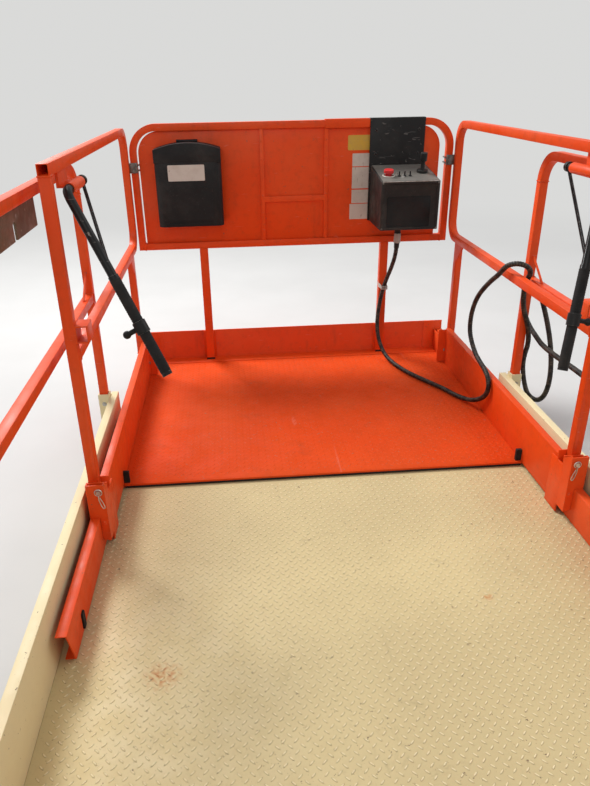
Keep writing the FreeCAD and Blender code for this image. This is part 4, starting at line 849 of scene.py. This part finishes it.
class PLATFORM_OT_decks(bpy.types.Operator):
    """Finishes both decks and raises their tread lozenges."""
    bl_idname = "platform.decks"
    bl_label = "Tread plate decks"

    def execute(self, context):
        detail = context.scene.platform_detail
        dress("deck_plate", detail.sheet_edge)
        dress("extension_deck", detail.sheet_edge, "orange_deck")
        dress("deck_edge_strip", 0.002, "orange_deck")
        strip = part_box("deck_edge_strip")
        low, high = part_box("deck_plate")
        margin = 0.006
        self.tread("fixed_deck_tread", (low[0] + margin, low[1] + margin),
                   (high[0] - margin, strip[0][1] - 0.02),
                   high[2], "cream_paint", "platform")
        low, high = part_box("extension_deck")
        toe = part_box("front_toe_board")
        gap = 0.004
        inside = side_face("right_side_toe", 1, outer=False) - gap
        self.tread("extension_deck_tread", (-inside, low[1] + 0.01), (inside, toe[0][1] - gap), high[2],
                   "orange_deck", "extension")
        self.corner_pads(strip, inside + gap)
        height = (strip[1][2] - strip[0][2]) / 2
        bead = rounded_plate((0.0, strip[0][1], strip[0][2] + height / 2), (2 * inside, height), "-y",
                             0.0010, 0.0010)
        on_extension("deck_edge_bead", bead, "black_rubber")
        return {"FINISHED"}

    def corner_pads(self, strip, edge):
        """Black pads that stand at both ends of the edge strip, against the toe boards."""
        width, height = 0.020, 0.046
        y, z = strip[1][1] + 0.014, strip[1][2] + height / 2 - 0.002
        pads = [rounded_plate((sign * (edge - width / 2), y, z), (width, height), "-y", 0.012, 0.002)
                for sign in SIGNS]
        on_extension("deck_corner_pads", joined(pads), "black_plastic", "black_rubber")

    def tread(self, name, low, high, top, finish, body):
        """Raised lozenges over a rectangle of a deck."""
        detail = bpy.context.scene.platform_detail
        sunk = 0.0004
        rows = tread_rows(low, high, top - sunk, detail.tread_pitch)
        stretch = (detail.tread_length, detail.tread_width, 1.0)
        mesh = stud_mesh(rows, finish, 6, 0.5, 0.22, TREAD_RISE + sunk, stretch)
        add_piece(name, smooth(mesh, 50), finish, body,
                  "cream_paint" if body == "platform" else "orange_paint")


class PLATFORM_OT_fixed_rails(bpy.types.Operator):
    """Finishes the fixed rails, their posts and the notched racks, with weld beads where they join."""
    bl_idname = "platform.fixed_rails"
    bl_label = "Fixed rails"

    def execute(self, context):
        edge = context.scene.platform_detail.edge
        for node in ["rear_rails"] + both("top_rail", "rail_posts", "mid_rails"):
            dress(node, edge)
        for node in both("lock_rack"):
            dress(node, 0.0008)
        half = TUBE / 2
        strap_rise, strap_run = 0.078, 0.100
        rear, rear_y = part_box("rear_rails"), middle("rear_rails")[1]
        joints, straps = [], []
        for side, sign in SIDES:
            rails, posts, rack = (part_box(side + name) for name in ("_mid_rails", "_rail_posts",
                                                                   "_lock_rack"))
            x, y, z = middle(side + "_mid_rails")
            post = rack[0][1] - 0.004 - half
            ends = (rails[0][1], post - half, post + half, rails[1][1])
            joints += [((x, end, z), half, half, "y") for end in ends]
            joints.append(((x, post, rack[1][2]), half, half, "z"))
            joints.append(((x, posts[1][1] - half, posts[1][2] - 0.078), half, half, "z"))
            joints += [((reach, rear_y, height), half, half, "x") for height in (rear[1][2] - half, z)
                       for reach in (x - sign * half, sign * 0.375)]
            long_half = (rack[1][1] - rack[0][1]) / 2 - 0.004
            joints.append(((x, (rack[0][1] + rack[1][1]) / 2, rack[1][2]), 0.003, long_half, "z"))
            foot = Vector((x, posts[1][1] - TUBE - strap_run, rails[1][2]))
            straps.append(sweep([foot + Vector((0, strap_run, strap_rise)), foot], 0.0045, 4))
        beads("fixed_rail_welds", joints, "platform")
        add_piece("rail_straps", joined(straps), "orange_paint", "platform", "orange_paint")
        return {"FINISHED"}


class PLATFORM_OT_gate(bpy.types.Operator):
    """Finishes the gate, its posts and its toe plate."""
    bl_idname = "platform.gate"
    bl_label = "Gate"

    def execute(self, context):
        edge = context.scene.platform_detail.edge
        dress("gate_posts", edge)
        dress("gate_frame", edge)
        dress("gate_toe_plate", 0.0008)
        low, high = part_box("gate_toe_plate")
        inset = 0.02
        places = [(x, high[1], low[2] + inset) for x in (low[0] + inset, 0.0, high[0] - inset)]
        bolts("gate_plate_bolts", places, "y", "gate", 0.005)
        half = 0.014
        inner = high[0] - 2 * half
        y = (low[1] + high[1]) / 2 + 0.0155
        heights = (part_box("gate_frame")[0][2] + half, middle("left_mid_rails")[2] + 0.001)
        beads("gate_welds", [((x, y, z), half, half, "x") for x in (-inner, inner) for z in heights],
              "gate")
        return {"FINISHED"}


class PLATFORM_OT_extension(bpy.types.Operator):
    """Finishes the extension's channels, toe boards, brackets, posts and rails."""
    bl_idname = "platform.extension"
    bl_label = "Extension"

    def execute(self, context):
        detail = context.scene.platform_detail
        for node in ["front_toe_board"] + both("side_channel"):
            dress(node, detail.sheet_edge)
        for node in ["side_front_posts", "front_hoop", "front_bar"] + both("extension_post",
                                                                           "extension_rail"):
            dress(node, detail.edge)
        self.front_posts(detail.edge)
        for node in both("post_bracket", "handle_sleeve"):
            dress(node, 0.0007)
        for node in both("track_rollers"):
            dress(node, 0.0018)
        half = TUBE / 2
        joints = []
        bar, front, posts = (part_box(name) for name in ("front_bar", "side_front_posts", "front_posts"))
        bar_y, bar_z = middle("front_bar")[1:]
        for side, sign in SIDES:
            low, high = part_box(side + "_extension_rail")
            x = (low[0] + high[0]) / 2
            joints += [((x, low[1] + half, high[2] - TUBE), half, half, "z"),
                       ((x, low[1] + TUBE, low[2] + half), half, half, "y"),
                       ((sign * (front[1][0] - half), front[1][1] - half, front[0][2]), half, half, "z"),
                       ((sign * bar[1][0], bar_y, bar_z), half, half, "x")]
            joints += [((sign * FRONT_POST_X, bar_y, z), half, half, "z") for z in (bar[0][2], posts[0][2])]
            self.toe_cap(side, sign)
            self.bracket_shoe(side, sign)
            self.sliders(side, sign)
        beads("extension_welds", joints, "extension")
        return {"FINISHED"}

    def front_posts(self, edge):
        """The two front posts, of a wider flat tube than the rails, on the ledge of the toe board."""
        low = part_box("front_posts")[0]
        dress("front_posts", edge)
        width, depth, corner = 0.0190, 0.0160, 0.0015
        outline = ((corner - width, -depth), (width - corner, -depth), (width, corner - depth),
                   (width, depth - corner),
                   (width - corner, depth), (corner - width, depth), (-width, depth - corner),
                   (-width, corner - depth))
        rise = Vector((0, 0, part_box("front_bar")[0][2] - low[2] - 0.0002))
        posts, feet = [], []
        for sign in SIGNS:
            foot = Vector((sign * FRONT_POST_X, low[1], low[2]))
            posts.append(flat_plate([foot + Vector((dx, TUBE / 2 + dy, 0)) for dx, dy in outline], rise))
            feet.append(rounded_plate(foot + Vector((0, -0.0010, 0.005)), (0.040, 0.009), "-y", 0.0012,
                                      0.001))
        on_extension("front_posts_wide", joined(posts), "orange_paint")
        on_extension("front_post_feet", joined(feet), "black_rubber")

    def toe_cap(self, side, sign):
        """Toe board of one side, its cap cut short of the front corner, with the plate that closes it."""
        low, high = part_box(side + "_side_toe")
        x = (low[0] + high[0]) / 2
        cut = high[1] - CAP_SHORT
        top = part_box(side + "_side_channel")[1][2]
        gap = bmesh.new()
        place = Matrix.Translation((x, cut + 0.2, top + 0.1005)) @ Matrix.Diagonal((0.2, 0.4, 0.2, 1.0))
        bmesh.ops.create_cube(gap, size=1.0, matrix=place)
        cutter = placed("corner_gap", as_mesh(gap, "corner_gap"))

        def cut_and_round(carrier):
            cutting = carrier.modifiers.new("Corner", "BOOLEAN")
            cutting.operation = "DIFFERENCE"
            cutting.object = cutter
            cutting.solver = "EXACT"
            add_bevel(carrier, bpy.context.scene.platform_detail.sheet_edge)

        mesh = evaluated(merged_copy(side + "_side_toe"), cut_and_round)
        bpy.data.objects.remove(cutter)
        on_extension(side + "_toe_cap", smooth(mesh), "orange_paint", "orange_paint", side + "_side_toe")
        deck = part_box("extension_deck")[1][2]
        centre = (x - sign * 0.017, cut, (deck + high[2]) / 2 - 0.002)
        plate = rounded_plate(centre, (0.060, high[2] - deck - 0.006), "-y", 0.004, 0.006)
        on_extension(side + "_corner_plate", plate, "orange_paint")
        bolts(side + "_corner_bolt", [(x - sign * 0.010, cut - 0.004, deck + 0.062)], "-y", "extension",
              0.006)

    def bracket_shoe(self, side, sign):
        """Folded shoe behind the bracket, with its painted rivet, its pin and the ring and clip on it."""
        low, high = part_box(side + "_post_bracket")
        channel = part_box(side + "_side_channel")
        sheet = 0.004
        back, front = low[1] - SHOE_LENGTH, low[1] - 0.0002
        outer = side_face(side + "_post_bracket", sign) - sign * 0.009
        inner = side_face(side + "_post_bracket", sign, outer=False)
        web = side_face(side + "_side_channel", sign, outer=False)
        near_web = web - sign * 0.001
        seat, top, drop = channel[1][2] + 0.0006, high[2] + 0.020, channel[0][2] + 0.030
        rear = ((outer, seat), (outer, top), (inner, top), (inner, drop), (near_web, drop + 0.006),
                (near_web, seat))
        plates = [flat_plate([Vector((x, back, z)) for x, z in rear], Y_AXIS * sheet)]
        start = back + sheet + 0.0001
        for x, foot, push in ((outer, seat, -sign), (inner, drop, sign)):
            wing = ((start, foot), (start, top), (back + 0.012, top), (front, high[2] - 0.004),
                    (front, foot))
            plates.append(flat_plate([Vector((x, y, z)) for y, z in wing], X_AXIS * push * sheet))
        on_extension(side + "_bracket_shoe", joined(plates), "orange_paint")
        heads(side + "_bracket_rivet", [((inner + web) / 2, back, seat - 0.018)], "orange_paint",
              "orange_paint",
              (16, 0.0062, 0.0036, 0.0036))
        pin = Vector((inner + sign * 0.017, back, top - 0.022))
        head = stud_mesh([(tuple(pin), facing("-y"))], "bright_zinc", 20, 0.0075, 0.0065, 0.0070)
        ring = sweep(circle(pin - Y_AXIS * 0.0045, 0.0105, 28, Z_AXIS), 0.0014, 8, True)
        hang = pin + Vector((0, -0.007, -0.0105))
        bends = ((0.000, 0.000), (0.000, 0.014), (0.005, 0.034), (0.010, 0.044), (0.015, 0.040),
                 (0.011, 0.024),
                 (0.003, 0.004))
        path = [hang - Vector((sign * across, 0, fall)) for across, fall in bends]
        clip = sweep(evenly(path, 0.003), 0.0016, 8)
        on_extension(side + "_bracket_pins", smooth(joined([head, ring, clip])), "bright_zinc", "zinc")

    def sliders(self, side, sign):
        """Small bolts that hold the toe board on its side channel, and the pad on the channel's tail."""
        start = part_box(side + "_side_toe")[0][1] + 0.08
        low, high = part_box(side + "_side_channel")
        face = side_face(side + "_side_toe", sign)
        places = [(face, start + k * 0.31, high[2] + 0.018) for k in range(4)]
        bolts(side + "_toe_bolts", places, outward(sign), "extension", 0.0045)
        centre = (side_face(side + "_side_channel", sign, outer=False), low[1] + 0.140,
                  (low[2] + high[2]) / 2 - 0.024)
        pad = rounded_plate(centre, (0.020, 0.050), outward(-sign), 0.005, 0.004)
        on_extension(side + "_tail_pad", pad, "black_rubber")


class PLATFORM_OT_panel(bpy.types.Operator):
    """Finishes the sheet panel with its ribs, blank stickers, rivets and the clamps beside it."""
    bl_idname = "platform.panel"
    bl_label = "Front panel"

    def execute(self, context):
        dress("front_panel", 0.0005)
        dress("panel_ribs", 0.0016)
        dress("rail_clamps", 0.0010, "dark_zinc")
        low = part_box("front_panel")[0]
        white = [rounded_plate((x, low[1], z), (width, height), "-y", 0.0006, 0.002)
                 for x, z, width, height in WHITE_STICKERS]
        on_extension("panel_white_stickers", joined(white), "white_label", "orange_paint")
        yellow = rounded_plate((0.301, low[1], 1.162), (0.112, 0.064), "-y", 0.0006, 0.006)
        on_extension("panel_yellow_sticker", yellow, "yellow_label", "orange_paint")
        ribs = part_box("panel_ribs")
        rows = [(sign * 0.145, ribs[0][1],
                 low[2] + 0.045 + step * 0.078) for sign in SIGNS for step in range(6)]
        heads("panel_rivets", rows, "orange_paint", "orange_paint", (12, 0.0048, 0.0026, 0.0022))
        low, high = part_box("rail_clamps")
        leg, inset = abs(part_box("front_hoop")[0][0]) - TUBE / 2, 0.011
        holes = [(sign * leg, z) for sign in SIGNS for z in (low[2] + inset, high[2] - inset)]
        bolts("clamp_bolts", [(x, low[1], z) for x, z in holes], "-y", "extension", 0.0062, "dark_zinc")
        out, corner = TUBE / 2 + 0.0045, 0.006
        back, front = high[1], high[1] + TUBE + 0.0045
        bow = ((-out, back), (-out, front - corner), (corner - out, front), (out - corner, front),
               (out, front - corner), (out, back))
        bows = [sweep([Vector((x + dx, y, z)) for dx, y in bow], 0.0035, 12) for x, z in holes]
        on_extension("clamp_bows", smooth(joined(bows), 60), "dark_zinc", "zinc")
        return {"FINISHED"}


class PLATFORM_OT_document_box(bpy.types.Operator):
    """Finishes the moulded document box and its lid."""
    bl_idname = "platform.document_box"
    bl_label = "Document box"

    def execute(self, context):
        dress("document_box", 0.0022, segments=3)
        dress("document_lid", 0.0016, segments=3)
        low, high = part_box("document_box")
        x, front, rim = (low[0] + high[0]) / 2, low[1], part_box("document_lid")[0][2]
        field = rounded_plate((x, front, low[2] + 0.098), (0.204, 0.140), "-y", 0.0012, 0.012)
        bead = rounded_plate((x, front, low[2] + 0.012), (0.226, 0.006), "-y", 0.0015, 0.0028)
        on_extension("document_box_mouldings", joined([field, bead]), "black_plastic")
        sticker = rounded_plate((x - 0.0075, front, rim - 0.0425), (0.159, 0.067), "-y", 0.0008, 0.004)
        on_extension("document_box_sticker", sticker, "white_label", "black_plastic")
        return {"FINISHED"}


class PLATFORM_OT_controls(bpy.types.Operator):
    """Finishes the control box with its guard plate, lever, switches, stop button and blank plates."""
    bl_idname = "platform.controls"
    bl_label = "Control box"

    def execute(self, context):
        dress("control_box", 0.0035, segments=3)
        dress("control_guard", 0.0010)
        dress("control_switches", 0.0008)
        dress("stop_button", 0.0016, segments=3)
        low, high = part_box("control_box")
        near, inset = low[1], 0.007
        corners = [(x, near, z) for x in (low[0] + inset, high[0] - inset) for z in (low[2] + inset,
                                                                                     low[2] + 0.198)]
        heads("control_screws", corners, "dark_zinc", "zinc", (16, 0.0042, 0.0034, 0.0016), 35)
        centre = ((low[0] + high[0]) / 2 - 0.004, near + 0.006, low[2] + 0.078)
        cover = rounded_plate(centre, (0.188, 0.126), "-y", 0.0022, 0.005)
        on_extension("control_cover", cover, "dark_screen", "grey_plastic")
        self.top_plate(low, high)
        stop = middle("stop_button")
        ring = [self.on_slope(low, point.x, point.y, 0.0030) for point in circle(stop, 0.0245, 40, Y_AXIS)]
        on_extension("stop_collar", sweep(ring, 0.0030, 10, True), "white_label", "grey_plastic")
        tilt = (math.atan(CONTROL_SLOPE), 0, 0)
        sockets = [(self.on_slope(low, stop.x + dx, stop.y + dy, 0.0014), tilt)
                   for dx, dy in ((0.040, 0.012), (0.058, -0.016), (0.074, 0.020))]
        collars = stud_mesh(sockets, "zinc", 20, 0.0085, 0.0075, 0.0030)
        keys = stud_mesh(sockets, "zinc", 12, 0.0040, 0.0034, 0.0110)
        on_extension("control_collars", smooth(joined([collars, keys])), "zinc", "grey_plastic")
        low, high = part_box("control_guard")
        inset = 0.028
        places = [(x, low[1], high[2] - drop) for x in (low[0] + inset,
                                                        high[0] - inset) for drop in (0.050, 0.150)]
        heads("guard_bolts", places, "black_steel", "black_steel", (18, 0.0060, 0.0036, 0.0026))
        return {"FINISHED"}

    def on_slope(self, low, x, y, rise):
        """A point over the box's sloping top."""
        return Vector((x, y, low[2] + CONTROL_NEAR_HEIGHT + CONTROL_SLOPE * (y - low[1]) + rise))

    def top_plate(self, low, high):
        """Thin worn plate on the sloping top, with a bright strip along its near edge."""
        edge, inset = 0.006, 0.004
        left, right, front = low[0] + edge, high[0] - edge, low[1] + edge
        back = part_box("control_guard")[0][1] - inset
        corners = [self.on_slope(low, x, y, 0.0002)
                   for x, y in ((left, front), (right, front), (right, back), (left, back))]
        on_extension("control_top_plate", flat_plate(corners, Z_AXIS * 0.0010), "panel_plate",
                     "grey_plastic")
        ends = [self.on_slope(low, x, low[1], -0.0008) + Y_AXIS * 0.0015 for x in (low[0] + inset,
                                                                                   high[0] - inset)]
        on_extension("control_edge_strip", sweep(ends, 0.0022, 8), "zinc")


class PLATFORM_OT_handles(bpy.types.Operator):
    """Finishes the push handles and gives them ribbed grips."""
    bl_idname = "platform.handles"
    bl_label = "Push handles"

    def execute(self, context):
        for side, sign in SIDES:
            dress(side + "_push_handle", 0.0, "black_steel")
            elbow = HANDLE_ELBOW.copy()
            leg = Matrix.Rotation(HANDLE_SWING[side], 3, "Y") @ HANDLE_LEG
            elbow.x *= sign
            leg.x *= sign
            points = evenly([elbow + leg * share for share in GRIP_SHARE], 0.0022)
            grip = sweep(points, lambda ring: GRIP_RADIUS + (0.0, 0.0006, 0.0006)[ring % 3], 20)
            add_piece(side + "_handle_grip", grip, "black_rubber", side + "_handle", "black_steel")
        return {"FINISHED"}


class PLATFORM_OT_cable(bpy.types.Operator):
    """Lays the control cable in its ribbed sheath, with its glands, its strain relief and its tie."""
    bl_idname = "platform.cable"
    bl_label = "Cable"

    def execute(self, context):
        line = self.centre_line()
        sides = 12
        points = evenly(line, context.scene.platform_detail.cable_rib / 4)
        tube = sweep(points, lambda ring: CABLE_RADIUS - SHEATH_GROOVE * (1, 0.25, 0, 0.25)[ring % 4],
                     sides)
        ribs = tube.attributes.new("rib", "FLOAT", "POINT")
        for index, item in enumerate(ribs.data):
            item.value = (0.0, 0.7, 1.0, 0.7)[index // sides % 4]
        cable = add_piece("control_cable_sheath", tube, "cable_sheath", None, "cable_sheath",
                          "control_cable",
                          "cable_loop", "feed_cable")
        glands = [dress(node, 0.0008) for node in ("cable_gland", "feed_gland")]
        relief_points = evenly([p for p in points if (p - points[0]).length < RELIEF_LENGTH], 0.0025)
        count = len(relief_points)
        relief = sweep(relief_points, lambda ring: 0.0145 - 0.0030 * ring / count - 0.0006 * (ring % 2), 20)
        relief = on_extension("cable_relief", relief, "black_rubber", "grey_plastic")
        tape = sweep(relief_points[2:20], lambda ring: 0.0156 - 0.0007 * (ring % 3 == 0), 20)
        tape = on_extension("cable_tape", tape, "pale_tape", "grey_plastic")
        self.tie()
        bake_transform(cable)
        return {"FINISHED"}

    def centre_line(self):
        """Points of the smooth line that the route's points control."""
        curve = bpy.data.curves.new("cable_line", "CURVE")
        curve.dimensions = "3D"
        curve.resolution_u = 10
        spline = curve.splines.new("NURBS")
        spline.points.add(len(CABLE_ROUTE) - 1)
        for point, place in zip(spline.points, CABLE_ROUTE):
            point.co = (*place, 1)
        spline.order_u = 3
        spline.use_endpoint_u = True
        holder = placed("cable_line", curve)
        depsgraph = bpy.context.evaluated_depsgraph_get()
        mesh = bpy.data.meshes.new_from_object(holder.evaluated_get(depsgraph))
        line = [vertex.co.copy() for vertex in mesh.vertices]
        bpy.data.objects.remove(holder)
        return line

    def tie(self):
        """Tie that holds the cable to the right front post."""
        path = [Vector((x, y, TIE_HEIGHT + (y - 1.70) * 0.1)) for x, y in TIE_CORNERS]
        bands = [sweep([point + Z_AXIS * rise for point in path], 0.0026, 8, True) for rise in TIE_TURNS]
        return on_extension("cable_tie", smooth(joined(bands), 60), "pale_tape", "grey_plastic")


def seen_directly(tree):
    """Whether a ray comes from the camera, or by a reflection or through glass."""
    path = wire(tree, "ShaderNodeLightPath")
    total = path.outputs["Is Camera Ray"]
    for name in ("Is Glossy Ray", "Is Transmission Ray"):
        adding = wire(tree, "ShaderNodeMath", ((0, total), (1, path.outputs[name])), operation="MAXIMUM")
        total = adding.outputs[0]
    return total


class PLATFORM_OT_stage(bpy.types.Operator):
    """Sets the floor, the soft studio light and the photograph's camera."""
    bl_idname = "platform.stage"
    bl_label = "Stage and camera"

    def execute(self, context):
        self.floor()
        self.lamp("Key", (-2.8, 4.4, 5.6), (0.0, 0.3, 0.3), 2.2, 480)
        self.lamp("Fill", (-1.5, -4.6, 4.2), (0.0, 0.3, 0.5), 3.6, 70)
        self.lamp("Side", (4.6, 1.2, 4.2), (0.0, 0.5, 0.4), 3.6, 90)
        world = bpy.data.worlds.new("Studio")
        context.scene.world = world
        world.use_nodes = True
        tree = world.node_tree
        sky = tree.nodes["Background"]
        sky.inputs["Color"].default_value = (0.94, 0.96, 1.0, 1)
        sky.inputs["Strength"].default_value = 0.42
        backdrop = wire(tree, "ShaderNodeBackground", (("Color", (*BACKDROP, 1)),))
        choose = wire(tree, "ShaderNodeMixShader", (
            (0, seen_directly(tree)), (1, sky.outputs[0]), (2, backdrop.outputs[0])))
        tree.links.new(choose.outputs[0], tree.nodes["World Output"].inputs[0])
        context.scene.view_settings.view_transform = "Standard"
        self.camera(context.scene.platform_view)
        return {"FINISHED"}

    def floor(self):
        """Plain pale floor that melts into the backdrop away from the platform."""
        mesh = bpy.data.meshes.new("floor")
        reach = 60.0
        corners = [(-reach, -reach, 0), (reach, -reach, 0), (reach, reach, 0), (-reach, reach, 0)]
        mesh.from_pydata(corners, [], [(0, 1, 2, 3)])
        look = Finish("Pale floor")
        patches = look.cloud(1.2, 4, 0.3, 0.7)
        look.surface(look.mix(patches, (0.60, 0.595, 0.58), (0.64, 0.635, 0.62)), shine=0.2)
        look.shader.inputs["Roughness"].default_value = 0.9
        away = look.add("VectorMath", ((0, look.place),), operation="LENGTH").outputs["Value"]
        share = look.times(look.band(away, 2.2, 7.5), seen_directly(look.tree))
        glow = look.add("Emission", (("Color", (*BACKDROP, 1)),))
        choose = look.add("MixShader", ((0, share), (1, look.shader.outputs[0]), (2, glow.outputs[0])))
        look.tree.links.new(choose.outputs[0], look.tree.nodes["Material Output"].inputs["Surface"])
        mesh.materials.append(look.material)
        placed("floor", mesh)

    def lamp(self, name, place, target, size, power):
        """A square area lamp that faces a point."""
        light = bpy.data.lights.new(name, "AREA")
        light.size = size
        light.energy = power
        lamp = placed(name, light)
        lamp.location = place
        lamp.rotation_euler = (Vector(target) - Vector(place)).to_track_quat("-Z", "Y").to_euler()

    def camera(self, view):
        """Camera at the photograph's place and angle."""
        forward = Vector((math.sin(view.yaw) * math.cos(view.pitch),
                          math.cos(view.yaw) * math.cos(view.pitch),
                          -math.sin(view.pitch)))
        level = Vector((math.cos(view.yaw), -math.sin(view.yaw), 0))
        down = forward.cross(level)
        right = level * math.cos(view.roll) + down * math.sin(view.roll)
        lower = down * math.cos(view.roll) - level * math.sin(view.roll)
        data = bpy.data.cameras.new("Camera")
        data.sensor_fit = "VERTICAL"
        data.sensor_height = 24.0
        data.lens = view.lens
        data.shift_x, data.shift_y = view.shift
        data.clip_start = 0.02
        camera = placed("Camera", data)
        turn = Matrix((right, -lower, -forward)).transposed()
        camera.matrix_world = Matrix.Translation(Vector(view.place)) @ turn.to_4x4()
        bpy.context.scene.camera = camera


class PLATFORM_PT_panel(bpy.types.Panel):
    """Steps and values of the platform."""
    bl_idname = "PLATFORM_PT_panel"
    bl_label = "Platform"
    bl_space_type = "VIEW_3D"
    bl_region_type = "UI"
    bl_category = "Platform"

    def draw(self, context):
        layout = self.layout
        for operator in OPERATORS:
            layout.operator(operator.bl_idname)
        scene = context.scene
        for group in (scene.platform_finish, scene.platform_detail, scene.platform_view):
            box = layout.box()
            for name in type(group).__annotations__:
                box.prop(group, name)


OPERATORS = (
    PLATFORM_OT_stage, PLATFORM_OT_cable, PLATFORM_OT_underframe, PLATFORM_OT_decks,
    PLATFORM_OT_fixed_rails,
    PLATFORM_OT_gate, PLATFORM_OT_extension, PLATFORM_OT_panel, PLATFORM_OT_document_box,
    PLATFORM_OT_controls,
    PLATFORM_OT_handles,
)
CLASSES = (PlatformFinish, PlatformDetail, PlatformView) + OPERATORS + (PLATFORM_PT_panel,)


def register():
    """Registers the classes and the values that they use."""
    for item in CLASSES:
        bpy.utils.register_class(item)
    bpy.types.Scene.platform_finish = bpy.props.PointerProperty(type=PlatformFinish)
    bpy.types.Scene.platform_detail = bpy.props.PointerProperty(type=PlatformDetail)
    bpy.types.Scene.platform_view = bpy.props.PointerProperty(type=PlatformView)


def unregister():
    """Takes the values and the classes away again."""
    for name in ("platform_finish", "platform_detail", "platform_view"):
        delattr(bpy.types.Scene, name)
    for item in reversed(CLASSES):
        bpy.utils.unregister_class(item)


def main():
    """Makes every piece."""
    register()
    make_materials(bpy.context.scene.platform_finish)
    for operator in OPERATORS:
        group, name = operator.bl_idname.split(".")
        getattr(getattr(bpy.ops, group), name)()


if __name__ == "__main__":
    main()
